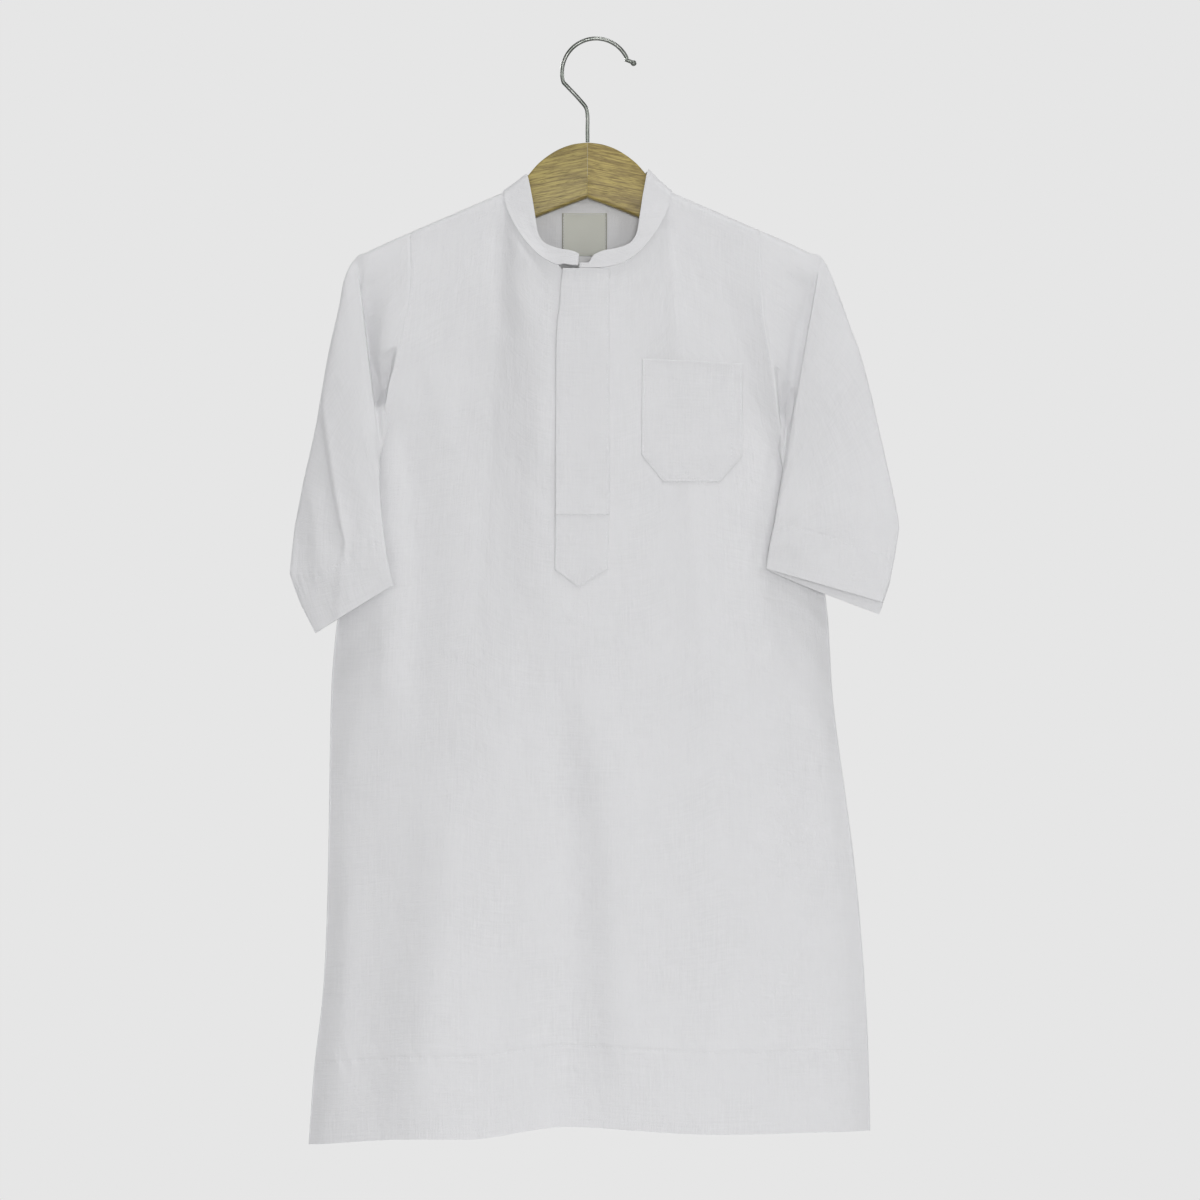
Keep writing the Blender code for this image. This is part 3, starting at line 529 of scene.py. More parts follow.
print("a crease 2 mm high, 5 mm from its line:",
      crease(np.array([5.0]), np.array([-50.0]), ((0, 0), (0, -100)), 8, 8, 2.0))

# %% [markdown]
# ## From points to cloth
# A real shirt is sewn from flat pieces, and its surface is a smooth one between them.
# We take the coarse grid of a panel, run smooth curves down and then across it, and so
# get a grid with a point every two or three millimetres. More points go where a seam
# or a stitch line needs a finer form. The neck has a corner at each shoulder, so there
# the curve is made in three parts.

# %% Fine grids
LEFT_CORNER, RIGHT_CORNER = SHOULDER_COLUMNS, SHOULDER_COLUMNS + 2 * NECK_COLUMNS
EDGE_STEPS = (0.0, 0.04, 0.08, 0.13, 0.19, 0.26, 0.36, 0.5, 0.66, 0.83)


def column_places(steps):
    """Places across a panel, closer together at the seams on both sides."""
    last = LAST_COLUMN - 1
    middle = [span + k / steps for span in range(1, last) for k in range(steps)]
    ends = [LAST_COLUMN - share for share in EDGE_STEPS]
    return np.array([*EDGE_STEPS, *middle, last, *ends[::-1]])


def fine_panel(plan, rows, columns, first):
    """A smooth panel; first is the row that holds the neck edge."""
    down = smooth_at(plan, rows)
    middle = slice(LEFT_CORNER + 1, RIGHT_CORNER)
    down[:, middle] = np.nan
    lower = rows >= first
    down[lower, middle] = smooth_at(plan[first:, middle], rows[lower] - first)
    flat = np.swapaxes(down, 0, 1)
    parts = np.full((len(columns), len(rows), 3), np.nan)
    for start, stop in ((LEFT_CORNER, RIGHT_CORNER), (0, LEFT_CORNER), (RIGHT_CORNER, LAST_COLUMN)):
        chosen = (columns >= start) & (columns <= stop)
        parts[chosen] = smooth_at(flat[start:stop + 1], columns[chosen] - start)
    share = ease((rows - first) / 2).reshape(1, -1, 1)
    whole = smooth_at(flat, columns)
    mixed = np.where(share > 0, parts * (1 - share) + whole * share, parts)
    return np.swapaxes(mixed, 0, 1)


def ways_out(grid, closed=False, flip=False):
    """The unit normals of a grid, pointing away from the wearer."""
    before = np.roll(grid, 1, 1)
    after = np.roll(grid, -1, 1)
    if not closed:
        before[:, 0], after[:, -1] = grid[:, 0], grid[:, -1]
    before = np.where(np.isnan(before), grid, before)
    after = np.where(np.isnan(after), grid, after)
    above = np.concatenate([grid[:1], grid[:-1]])
    below = np.concatenate([grid[1:], grid[-1:]])
    above = np.where(np.isnan(above), grid, above)
    normals = np.cross(below - above, after - before)
    length = np.linalg.norm(normals, axis=2, keepdims=True)
    return normals / np.maximum(length, 1e-9) * (-1 if flip else 1)


def running(grid, axis):
    """The length along the grid's lines, from their first point."""
    steps = np.linalg.norm(np.diff(grid, axis=axis), axis=2)
    steps = np.nan_to_num(steps)
    start = np.zeros_like(np.take(steps, [0], axis=axis))
    return np.concatenate([start, np.cumsum(steps, axis=axis)], axis=axis)


def cloth_map(grid, closed=False):
    """Flat coordinates in millimetres: across from the middle, and down."""
    whole = np.concatenate([grid, grid[:, :1]], axis=1) if closed else grid
    across = running(whole, 1)
    across = across - across[:, across.shape[1] // 2][:, None]
    steps = np.linalg.norm(np.diff(whole, axis=0), axis=2)
    down = np.concatenate([[0.0], np.cumsum(np.nanmean(steps, axis=1))])
    return np.stack([across, np.broadcast_to(down[:, None], across.shape)], axis=2)


body_columns = column_places(5)
body_steps = [6] * ARMHOLE_ROWS + [9] * 17 + [22] + [8] * 2
front_rows = places_for(body_steps)
back_rows = places_for([4] * WRAP_ROWS + body_steps)
front = fine_panel(front_plan, front_rows, body_columns, 0)
back = fine_panel(back_plan, back_rows, body_columns, WRAP_ROWS)
print("front grid", front.shape, "back grid", back.shape)

# %% [markdown]
# ## A sheet with two sides
# Cloth has a thickness, even if it is under a millimetre: we see it at the cuffs, the
# hem and the neck. One function makes a closed thin wall from an outer grid and an
# inner grid, joins them round the rim, and stores the flat cloth coordinates, so that
# the weave can run with the threads and not with the world.

# %% The wall between two grids
POPLIN = 0.7
made = {}


def place(points):
    """From garment millimetres to the frame's metres."""
    return (np.asarray(points, float).reshape(-1, 3) + (CENTRE_X, 0.0, 0.0)) * MM


def new_piece(name, vertices, faces, maps=None, sharp=60):
    mesh = bpy.data.meshes.new(name)
    mesh.from_pydata(place(vertices).tolist(), [], faces)
    if maps is not None:
        layer = mesh.uv_layers.new(name="cloth")
        layer.data.foreach_set("uv", (np.asarray(maps, float) * MM).ravel())
    mesh.shade_smooth()
    mesh.set_sharp_from_angle(angle=math.radians(sharp))
    piece = bpy.data.objects.new(name, mesh)
    bpy.context.scene.collection.objects.link(piece)
    made[name] = piece


def wall_parts(outer, inner, maps, closed=False, flip=False):
    """Vertices, faces and cloth coordinates of a closed wall."""
    height, width = outer.shape[:2]
    there = ~np.isnan(outer[..., 0])
    number = np.full((height, width), -1)
    number[there] = np.arange(there.sum())
    r, c = np.meshgrid(np.arange(height - 1), np.arange(width if closed else width - 1), indexing="ij")
    corners = [(r, c), (r + 1, c), (r + 1, c + 1), (r, c + 1)]
    if flip:
        corners = corners[::-1]
    quads = np.stack([number[row, column % width] for row, column in corners], axis=2).reshape(-1, 4)
    flats = np.stack([maps[row, column] for row, column in corners], axis=2).reshape(-1, 4, 2)
    whole = (quads >= 0).all(axis=1)
    quads, flats = quads[whole], flats[whole]
    count = there.sum()
    starts, ends = quads.ravel(), np.roll(quads, -1, axis=1).ravel()
    start_maps, end_maps = flats.reshape(-1, 2), np.roll(flats, -1, axis=1).reshape(-1, 2)
    edge = ~np.isin(ends * count + starts, starts * count + ends)
    a, b = starts[edge], ends[edge]
    rim = np.stack([b, a, a + count, b + count], axis=1)
    rim_maps = np.stack([end_maps[edge], start_maps[edge], start_maps[edge], end_maps[edge]], axis=1)
    faces = np.concatenate([quads, quads[:, ::-1] + count, rim])
    all_maps = np.concatenate([flats, flats[:, ::-1], rim_maps])
    return np.concatenate([outer[there], inner[there]]), faces.tolist(), all_maps.reshape(-1, 2)


def cloth_piece(name, outer, thickness=POPLIN, closed=False, flip=False, ways=None):
    """A thin sheet of cloth on a grid; its thickness goes inwards."""
    ways = ways_out(outer, closed, flip) if ways is None else ways
    inner = outer - ways * np.asarray(thickness)
    vertices, faces, maps = wall_parts(outer, inner, cloth_map(outer, closed), closed, flip)
    new_piece(name, vertices, faces, maps)
    print(name, len(faces) * 2, "triangles")


print("the cloth is", POPLIN, "mm thick")

# %% [markdown]
# ## The front
# The front hangs from the shoulders and swells as it falls. Its deepest fold runs from
# the tail of the placket to the hem, a little right of the middle, with one side
# turned from the light. Smaller creases start where something holds the cloth: at the
# neck, at the armholes and under the pocket. The wide hem is turned up and stitched,
# and the stitches draw the cloth into a shallow line.

# %% Creases of the front
FRONT_CREASES = (
    (((-60, -117), (-53, -136), (-51, -190), (-36, -220), (-32, -345)), 11, 11, 1.6),
    (((-18, -178), (-21, -290), (-24, -420)), 19, 13, 1.7, 0.3),
    (((-66, -130), (-66, -180), (-60, -235)), 9, 9, -0.9),
    (((57, -124), (67, -170), (72, -218)), 6, 10, -1.3),
    (((84, -138), (92, -176), (90, -214)), 9, 8, 0.8),
    (((-6, -455), (9, -533), (20, -619), (24.5, -734), (24.5, -830)), 15, 26, 3.6, 0.3),
    (((86, -520), (92, -640), (96, -830)), 17, 15, 1, 0.3),
    (((-26, -430), (-20, -520), (-12, -640), (-12, -830)), 14, 12, -1.4, 0.3),
    (((-90, -300), (-96, -420), (-104, -560)), 15, 20, 0.9),
    (((-128, -214), (-112, -262), (-104, -318)), 8, 13, 0.8),
    (((-147, -262), (-132, -330), (-128, -420), (-131, -520)), 9, 16, -1.5),
    (((-156, -330), (-150, -420), (-152, -520)), 9, 9, 1),
    (((127, -260), (113, -320), (107, -400)), 10, 9, -0.9),
    (((140, -320), (132, -400), (134, -500)), 12, 9, 1.1),
    (((118, -420), (121, -520), (118, -640)), 15, 12, -0.9),
    (((76, -345), (80, -430), (86, -520)), 13, 11, 0.8),
    (((-42, -400), (-46, -480), (-52, -560)), 9, 12, -0.8),
    (((-98, -540), (-108, -640), (-120, -740), (-136, -826)), 28, 17, 2),
    (((-60, -610), (-66, -720), (-76, -825)), 12, 14, -0.9),
    (((98, -600), (108, -700), (112, -810)), 15, 13, 1),
    (((150, -430), (158, -540), (168, -640)), 9, 13, -0.8),
    (((172, -640), (182, -730), (188, -812)), 9, 11, 0.9),
    (((-176, -600), (-180, -700), (-188, -820)), 7, 11, 0.9),
)


def raised(path, by):
    """The same (x, z) path, moved up."""
    return tuple((x, z + by) for x, z in path)


def edge_distance(grid):
    """Millimetres from each side edge of a panel, whichever is nearer."""
    across = running(grid, 1)
    return np.minimum(across, across[:, -1:] - across)


def seam_dip(distance, depth=0.9, reach=1.7):
    """How far cloth rolls in beside a seam."""
    return -depth * np.clip(1 - distance / reach, 0, 1) ** 1.6


CREASE_GAIN, UNEVEN = 1.25, 0.4
STITCH_WIDTH, STITCH_DIP = 1.1, -0.32
ROLL_ABOVE, ROLL_WIDTH, ROLL_HEIGHT = 4, 5.0, 0.25


def panel_lift(x, z, table, hem, waves, gathers):
    """Creases, gentle unevenness and the stitched hem of a panel."""
    lift = CREASE_GAIN * creases(x, z, table) + UNEVEN * ripple(x, z, *waves)
    lift += crease(x, z, hem, STITCH_WIDTH, STITCH_WIDTH, STITCH_DIP, 0.0)
    lift += crease(x, z, raised(hem, ROLL_ABOVE), ROLL_WIDTH, ROLL_WIDTH, ROLL_HEIGHT, 0.0)
    return lift + pucker(x, z, hem, *gathers)


print("the front has", len(FRONT_CREASES), "small creases")

# %% The front's cloth
HEM_STITCH = 60.5
HEM_LINE = raised(FRONT_HEM, HEM_STITCH)
x, z = front[..., 0], front[..., 2]
from_side, from_top = edge_distance(front), running(front, 0)
calm = ease(np.minimum(from_side / 12, from_top / 14))
at_underarm = bell(z + 300, 26)
lift = panel_lift(x, z, FRONT_CREASES, HEM_LINE, (70, 260, 4), (9.0, 9.0, 0.34, 7)) * calm
lift = lift + seam_dip(from_side, 0.5 * (1 - at_underarm), 1.5) + seam_dip(from_top, -0.22, 1.6)
# beside the placket's free top corner the neck edge is cut lower
notch = ease((x + 22) / 4) * ease((-5.5 - x) / 2) * ease((z + 190) / 16)
front = front + ways_out(front) * lift[..., None]
front[..., 2] -= 3.4 * notch
cloth_piece("front_cloth", front)
print("its hem is stitched", HEM_STITCH, "mm above the edge")

# %% [markdown]
# ## The back
# The back is cut in one piece with the cloth over the shoulders, so its seam lies in
# front of the hanger, where one sees a narrow strip of it. It hangs in three broad
# folds, which start between the shoulder blades.

# %% Creases of the back
BACK_CREASES = (
    (((-30, -150), (-34, -210), (-46, -300), (-58, -420)), 13, 10, 1.4),
    (((34, -150), (40, -230), (50, -320), (58, -430)), 11, 14, 1.3),
    (((0, -160), (3, -230), (2, -330), (-3, -470)), 14, 12, -1.2),
    (((-92, -190), (-84, -260), (-88, -360)), 10, 14, -1.1),
    (((96, -200), (86, -270), (90, -380)), 14, 9, -1.2),
    (((-126, -250), (-108, -310), (-104, -400)), 9, 12, 1.2),
    (((128, -262), (112, -330), (106, -420)), 12, 9, 1.2),
    (((-20, -420), (-30, -560), (-34, -825)), 13, 10, -1.5, 0.3),
    (((-66, -400), (-84, -560), (-96, -825)), 10, 13, 1.1, 0.3),
    (((-126, -430), (-132, -590), (-148, -820)), 11, 13, -1.3, 0.3),
    (((36, -430), (46, -580), (52, -825)), 12, 15, -1.2, 0.3),
    (((98, -450), (112, -600), (122, -820)), 13, 10, 1.2, 0.3),
    (((148, -500), (156, -640), (168, -812)), 9, 12, -1, 0.3),
    (((-170, -560), (-176, -700), (-182, -818)), 9, 9, 0.8),
)
BACK_HEM = ((-209.6, -828.3), (-180, -824.2), (0, -816.3), (184, -813.6), (212.6, -817.8))
BACK_STITCH = 61
BACK_LINE = raised(BACK_HEM, BACK_STITCH)
print("the back has", len(BACK_CREASES), "small creases")

# %% The back's cloth
x, z = back[..., 0], back[..., 2]
from_side = edge_distance(back)
calm = ease(np.minimum(from_side / 12, np.clip(-z - 130, 0, 99) / 24))
calm = np.where(np.isnan(calm), 0, calm)
lift = panel_lift(x, z, BACK_CREASES, BACK_LINE, (76, 240, 9), (10.0, 9.0, 0.32, 8)) * calm
from_top = np.repeat(running(back, 0)[:, :1], back.shape[1], axis=1)
lift += seam_dip(from_top, 0.4, 1.4)
side_dip = seam_dip(from_side, 0.5, 1.5)
side_dip[back_rows < 0.5] *= 0.0
back = back + ways_out(back, flip=True) * (lift + side_dip)[..., None]
cloth_piece("back_cloth", back, flip=True)
print("its lowest point is at z =", round(float(np.nanmin(back[..., 2])), 1))

# %% [markdown]
# ## Sleeves
# Each sleeve is a tube sewn into the armhole. Off the body it hangs down and folds
# flat, with a front and a back layer, and the cap between the shoulder and that fold
# dips where no arm fills it. Low on the cap the cloth is tucked away in a small
# pocket. A cap may sink only as far as the cloth behind it and the hanger's tip let
# it. The cuff is turned up and stitched like the hem.

# %% Rings of a sleeve
UNDERARM = ARMHOLE_ROWS + 2
RING = 2 * UNDERARM


def armhole_ring(armhole, side):
    """The closed ring round an armhole: top, front, underarm, back."""
    front_edge = side_edge(armhole, side)[:ARMHOLE_ROWS + 1]
    back_edge = mirror_depth(front_edge)
    seam = front_edge[0]
    back_edge[0] = wrap_point(seam, WRAP_ROWS)
    ring = [wrap_point(seam, 2), wrap_point(seam, 1)] + front_edge
    return ring + back_edge[::-1][1:] + [wrap_point(seam, 3)]


def ring_angles(places):
    """The angle round a sleeve's section at places round the armhole ring."""
    front_half = [0.0, 14.0] + [30.0 + 150.0 * k / ARMHOLE_ROWS for k in range(ARMHOLE_ROWS + 1)]
    whole = front_half + [360.0 - angle for angle in front_half[-2::-1]]
    return np.radians(np.interp(places, np.arange(RING + 1), whole))


def section_ring(row, angles):
    """A flat section of a sleeve, with crisp folds at its two edges."""
    outer, inner, half, drop = np.array(row[:3]), np.array(row[3:6]), row[6], row[7]
    share = (1 - np.cos(angles)) / 2
    ring = outer + (inner - outer) * share[:, None]
    sine = np.sin(angles)
    ring[:, 1] -= half * np.sign(sine) * np.abs(sine) ** 0.42
    ring[:, 2] -= drop * np.clip(-sine * 3, 0, 1) * (1 - share) ** 0.7
    return ring


def dip_share(down):
    """How much of a cap ring's dip is reached at a share of the way down the armhole."""
    return np.sin(np.pi * np.minimum(np.clip(down, 0, 2) / DIP_END, 1.0) ** 1.3)


def sleeve_rings(armhole, side, table, cap, places):
    """Rings from the armhole, over the cap and down to the cuff."""
    angles = ring_angles(places)
    first = smooth_at(np.array(armhole_ring(armhole, side)), places, True)
    # at the underarm the sleeve reaches a little under the body's cloth
    under = bell(places - UNDERARM, 1.3)
    first[:, 0] -= 1.6 * np.sign(first[:, 0]) * under
    first[:, 1] += 0.7 * under * np.sign(UNDERARM - places)
    rows = [section_ring(row, angles) for row in table]
    fold = rows[0]
    start_top = shoulder_top(first[:, 0])
    top = np.maximum(1 - ease(places - 2), ease(places - (RING - 3)))
    front_dip = dip_share((places - 2) / ARMHOLE_ROWS)
    back_dip = BACK_DIP * dip_share((RING - 2 - places) / ARMHOLE_ROWS)
    rings = [first]
    for share, dip in cap:
        hung = first + (fold - first) * share
        over = hung.copy()
        hung[:, 1] += np.where(places < UNDERARM, dip * front_dip, -dip * back_dip)
        late = share**8
        level = shoulder_top(over[:, 0]) + first[:, 2] - start_top
        over[:, 1] = first[:, 1] + (fold[:, 1] - first[:, 1]) * late
        over[:, 2] = level + (fold[:, 2] - level) * late
        rings.append(hung * (1 - top[:, None]) + over * top[:, None])
    return np.array(rings + rows)


def straighter(rings, places, share):
    """The smooth tube through the rings, drawn towards straight runs seen from the front."""
    grid = smooth_at(rings, places)
    start = np.minimum(places.astype(int), len(rings) - 2)
    part = (places - start).reshape(-1, 1, 1)
    straight = rings[start] * (1 - part) + rings[start + 1] * part
    amount = share * ease(places - 3.5).reshape(-1, 1, 1) * np.array([1.0, 0.0, 1.0])
    return grid * (1 - amount) + straight * amount


cap_rows = places_for([12, 12])[:-1]
near_fold = [2.0, 2.16, 2.32, 2.46, 2.58, 2.68, 2.76, 2.83, 2.88, 2.915, 2.94, 2.96, 2.98]
past_fold = [3.0, 3.03, 3.07, 3.12, 3.18, 3.26, 3.36, 3.48, 3.6, 3.74, 3.87]
lower_rows = places_for([10, 12, 9, 9, 14, 12, 10]) + 4
sleeve_rows = np.concatenate([cap_rows, near_fold, past_fold, lower_rows])
FOLD_ROW = len(cap_rows) + len(near_fold) - 1
sleeve_columns = np.concatenate([np.arange(0, UNDERARM, 0.1), np.arange(UNDERARM, RING, 0.2)])
print("a sleeve's grid has", len(sleeve_rows), "rows of", len(sleeve_columns), "points")

# %% Creases and edges of the sleeves
# creases of a sleeve's front layer, then of its back layer
LEFT_SLEEVE = (
    (((-186, -190), (-184, -240), (-176, -310), (-170, -360)), 12, 9, 0.9),
    (((-172, -330), (-176, -370), (-178, -404)), 9, 6, -0.9),
    (((-206, -330), (-203, -372), (-198, -414)), 6, 7, 0.7),
)
LEFT_SLEEVE_BACK = (
    (((-188, -200), (-190, -270), (-182, -350)), 11, 8, 1.6),
    (((-172, -280), (-168, -340), (-170, -395)), 8, 10, -1.2),
    (((-204, -310), (-202, -360), (-194, -410)), 7, 9, 1.1),
)
RIGHT_SLEEVE = (
    (((186, -205), (190, -262), (186, -325), (176, -385)), 13, 10, 0.9),
    (((204, -260), (212, -320), (211, -390)), 8, 10, -0.7),
    (((156, -330), (158, -362), (154, -396)), 6, 8, 0.6),
)
RIGHT_SLEEVE_BACK = (
    (((192, -215), (200, -290), (196, -370)), 9, 10, 1.5),
    (((172, -290), (176, -350), (172, -405)), 9, 8, -1.3),
    (((214, -310), (220, -360), (214, -412)), 8, 7, 1),
)
# a sharp edge, top to bottom: on the left sleeve its outer third is folded back
LEFT_STEP = ((-203, -240), (-199, -273), (-193, -311), (-188, -343), (-182, -376), (-184, -404), (-184, -450))
# the lower edge of each cap, below which the cloth is tucked away
LEFT_TUCK = ((-130, -226), (-140.6, -229.5), (-149, -233), (-158.6, -238.5), (-168, -243))
RIGHT_TUCK = ((128, -234), (138, -241), (149, -254), (157, -268), (168, -284))
print("the left sleeve is folded back along", len(LEFT_STEP), "points, from z =", LEFT_STEP[0][1])

# %% How far a cap sinks
WOOD_FRONT, LAYER_GAP = -6.8, 2.5


def cap_sink(x, z, down, fold, armhole, tuck, left):
    """How far the cap sinks on its way from the seam to the fold, by its pocket and valley."""
    above_end = z - armhole[-1][2]
    step, soft, depth, strip = (2.4, 3.6, 8.0, 4.5) if left else (1.4, 1.2, 5.0, 0)
    away, beside, _ = beside_path(x, z, tuck, True)
    below = away * np.sign(beside) * (-1 if left else 1)
    pocket = step * ease(below / soft) + 0.55 * np.clip(below, 0, 24)
    sink = pocket * ease(down / 7) * ease((above_end - 8) / 26)
    if left:
        strip = strip + 12.5 * np.clip((-z - 152) / 66, 0, 1.1)
    valley = depth * ease((down - strip) / np.maximum(fold - strip, 3)) ** 1.2
    above = ease((above_end - 6) / 34)
    slope = np.clip(down / fold, 0, 1)
    return sink + (valley * ease((-z - 170) / 50) * above + 1.7 * slope**1.5 * (0.2 + 0.8 * above))


def room_behind(grid, x, z):
    """How far a cap may sink: not through the cloth behind it, nor into the hanger's tip."""
    depth = grid[..., 1]
    behind = np.array([np.interp(RING - sleeve_columns, sleeve_columns, row) for row in depth])
    past_wood = np.maximum(ease((-z - 175) / 60), ease((np.abs(x) - 167) / 8))
    room = np.maximum(behind - LAYER_GAP - depth, 0)
    return np.minimum(room, np.maximum(WOOD_FRONT - depth, 0) + 20 * past_wood)


def fold_back(x, z, down, fold):
    """How far the left sleeve's outer third lies behind its folded edge."""
    nearest, beside, _ = beside_path(x, z, LEFT_STEP, True)
    soft = 2.2 + 14 * ease((-z - 372) / 40)
    share = ease(0.5 + np.sign(beside) * nearest / soft) * ease((-z - 250) / 40)
    return share * (1.6 + 0.26 * np.minimum(nearest, 34)) * ease((down - fold) / 6)


print("the wood's front lies at y =", WOOD_FRONT, "and the sleeve's two layers stay", LAYER_GAP, "apart")

# %% The two sleeves
CUFF_STITCH, CUFF_DIP = 36.0, -0.3


def sewn_sleeve(armhole, side, table, cap, before, behind, tuck):
    """A sleeve's outer face, sunk, folded, creased and stitched."""
    left = armhole is ARMHOLE_LEFT
    grid = straighter(sleeve_rings(armhole, side, table, cap, sleeve_columns), sleeve_rows, 0.85)
    x, z = grid[..., 0].copy(), grid[..., 2].copy()
    down = running(grid, 0)
    fold = down[FOLD_ROW:FOLD_ROW + 1]
    edge_wall = ease((fold - down) / 0.9)
    front_half = ease((sleeve_columns - 2) / 1.0) * ease((UNDERARM - sleeve_columns) / 0.6)
    low = ease((-z - 150) / 24) * front_half
    sink = np.minimum(cap_sink(x, z, down, fold, armhole, tuck, left), room_behind(grid, x, z))
    grid[..., 1] += low * edge_wall * sink
    grid[..., 1] -= 0.8 * low * (1 - edge_wall) * np.exp(-((down - fold) / 7))
    if left:
        grid[..., 1] += fold_back(x, z, down, fold)
    ways = ways_out(grid, True, not left)
    facing = ease(0.5 - ways[..., 1])
    lift = 1.3 * (facing * creases(x, z, before) + (1 - facing) * creases(x, z, behind))
    lift += 0.3 * ripple(x, z, 46, 150, 12)
    from_cuff = down[-1:] - down
    waves = sum(np.sin(sleeve_columns * 6 * k + k) for k in (0.63, 0.91, 1.4)) / 3
    lift += 0.28 * waves * bell(from_cuff - CUFF_STITCH, 8)
    lift = lift * ease(down / 16)
    if left:
        lift += 0.7 * facing * crease(x, z, LEFT_STEP[1:5], 1.6, 4.0, 1.0, 0.15)
    lift += CUFF_DIP * bell(from_cuff - CUFF_STITCH, 1.2)
    deeper = 0.0 if left else 0.7 * ease((-z - 196) / 12)
    at_underarm = bell(sleeve_columns - UNDERARM, 2.2)
    lift += seam_dip(down, (0.35 + deeper) * (1 - at_underarm), 1.6)
    return grid + ways * lift[..., None]


left_cloth = (SLEEVE_LEFT, CAP_LEFT, LEFT_SLEEVE, LEFT_SLEEVE_BACK, LEFT_TUCK)
right_cloth = (SLEEVE_RIGHT, CAP_RIGHT, RIGHT_SLEEVE, RIGHT_SLEEVE_BACK, RIGHT_TUCK)
sleeves = {
    "sleeve_left": sewn_sleeve(ARMHOLE_LEFT, SIDE_LEFT, *left_cloth),
    "sleeve_right": sewn_sleeve(ARMHOLE_RIGHT, SIDE_RIGHT, *right_cloth),
}
for name, grid in sleeves.items():
    cloth_piece(name + "_cloth", grid, closed=True, flip=name == "sleeve_right")
print("each cuff is stitched", CUFF_STITCH, "mm above its edge")

# %% [markdown]
# ## The stand collar
# A stand collar is a band of two layers, folded at the top and sewn to the neck at the
# bottom. Its ends meet in front of the throat. We loft it between the neck seam and a
# smaller ring above it, lean it inwards, and round its top fold. On this shirt the left
# end stands a little off the neck edge, so the band is lifted there.

# %% Collar band
COLLAR_CLOTH = 1.3
LEFT_END, RIGHT_END = 6.9, 6.0


def collar_rows():
    """Points round the band from its left end to its right end, foot and top."""
    right = [list(row) for row in NECK]
    left = [[-x, y, z, -top_x, top_y, top_z] for x, y, z, top_x, top_y, top_z in NECK]
    start = blend(left[0], left[1], LEFT_END / NECK[1][0])
    stop = blend(right[0], right[1], -RIGHT_END / NECK[1][0])
    level_stop = [stop[0], *right[0][1:3], stop[3], *right[0][4:]]
    return np.array([start] + left[1:] + right[::-1][1:] + [level_stop])


def band(heights, steps=6):
    """A grid up the band: heights run from 0 at the foot to 1 at the fold."""
    rows = collar_rows()
    loop = smooth_at(rows, places_for([steps] * (len(rows) - 1)))
    foot, top = loop[:, :3], loop[:, 3:]
    rise = top - foot
    length = np.linalg.norm(rise, axis=1, keepdims=True)
    foot = foot - rise / length * 0.5
    # the overlapping right end is cut down at the throat, where the size tab shows
    number = np.arange(len(loop))
    cut = 1 - 0.45 * ease((4.2 - foot[:, 0]) / 1.8) * (number > len(loop) / 2) * (foot[:, 1] < 0)
    return np.array([foot + rise * (height * cut)[:, None] for height in heights])


def near_corner(band_top, x, width, depth):
    """1 at one of the band's two corners at the shoulders, falling away round it."""
    return bell(band_top[:, 0] - x, width) * bell(band_top[:, 1], depth)


heights = np.linspace(0, 1, 15)
up = heights[:, None]
collar = band(heights)
x = collar[0][:, 0]
# near its left end the foot stands a little off the neck edge
foot_lift = 1.7 * ease((x + 22) / 5) * (np.arange(len(x)) < 20) * (x < -5)
collar[..., 2] += foot_lift[None, :] * (1 - up) ** 1.5
ways = ways_out(collar, flip=True)
along = running(collar, 1)[7]
wave = 0.4 + 0.18 * np.sin(along / 17.0) + 0.14 * np.sin(along / 7.3 + 1)
swell = np.sin(np.pi * up) * np.minimum(1, up * 1.6)
low_edge = 0.25 * bell(up, 0.1)
collar = collar + ways * (0.06 - low_edge + wave[None, :] * swell)[..., None]
# the left shoulder's part has slipped lower than the right one, whose point is blunt
for corner, drop in (((-46, 7.5, 10), 5.0), ((46, 3.0, 4), 1.8)):
    collar[..., 2] -= drop * up**1.2 * near_corner(collar[-1], *corner)[None, :]
# the edges are thinner than the middle, so that the fold and the foot look rounded
from_ends = np.minimum(along, along[-1] - along)[None, :]
thick = COLLAR_CLOTH * (0.45 + 0.55 * np.minimum(1, (1 - up) * 9) ** 0.5)
thick = thick * (0.5 + 0.5 * np.minimum(1, from_ends / 1.5) ** 0.5)
collar = collar - ways * ((COLLAR_CLOTH - thick) / 2)[..., None]
cloth_piece("collar_band", collar, thick[..., None], flip=True, ways=ways)
print("the band is", round(float(along[-1])), "mm round")

# %% [markdown]
# ## Trims that lie on the front
# The placket hides the buttons: a strip whose right edge is sewn down and whose left
# edge is free, down to a pointed tail. The pocket is a patch with a turned top edge.
# Both are cloth on cloth, so we cast a ray from the front at every point and lay the
# strip on what it hits, a little proud, and a little more where an edge is free.

# %% Laying cloth on cloth
def tree_of(*names):
    """A search tree over the pieces, for casting rays at them."""
    vertices, faces = [], []
    for name in names:
        mesh = made[name].data
        start = len(vertices)
        vertices += [v.co.copy() for v in mesh.vertices]
        faces += [[start + i for i in face.vertices] for face in mesh.polygons]
    return BVHTree.FromPolygons(vertices, faces)


def cast(tree, x, z):
    """Depth y and normal of the cloth at a place, seen from the front."""
    start = Vector(((x + CENTRE_X) * MM, -0.3, z * MM))
    hit, normal, _, _ = tree.ray_cast(start, Vector((0.0, 1.0, 0.0)))
    if hit is None:
        return math.nan, (0.0, -1.0, 0.0)
    return hit.y / MM, tuple(normal)


def least(*distances):
    return np.minimum.reduce(distances)


def rounded(edge):
    """The share of its thickness that cloth has at a distance from its edge."""
    return 0.35 + 0.65 * np.clip(edge / 0.7, 0, 1) ** 0.5


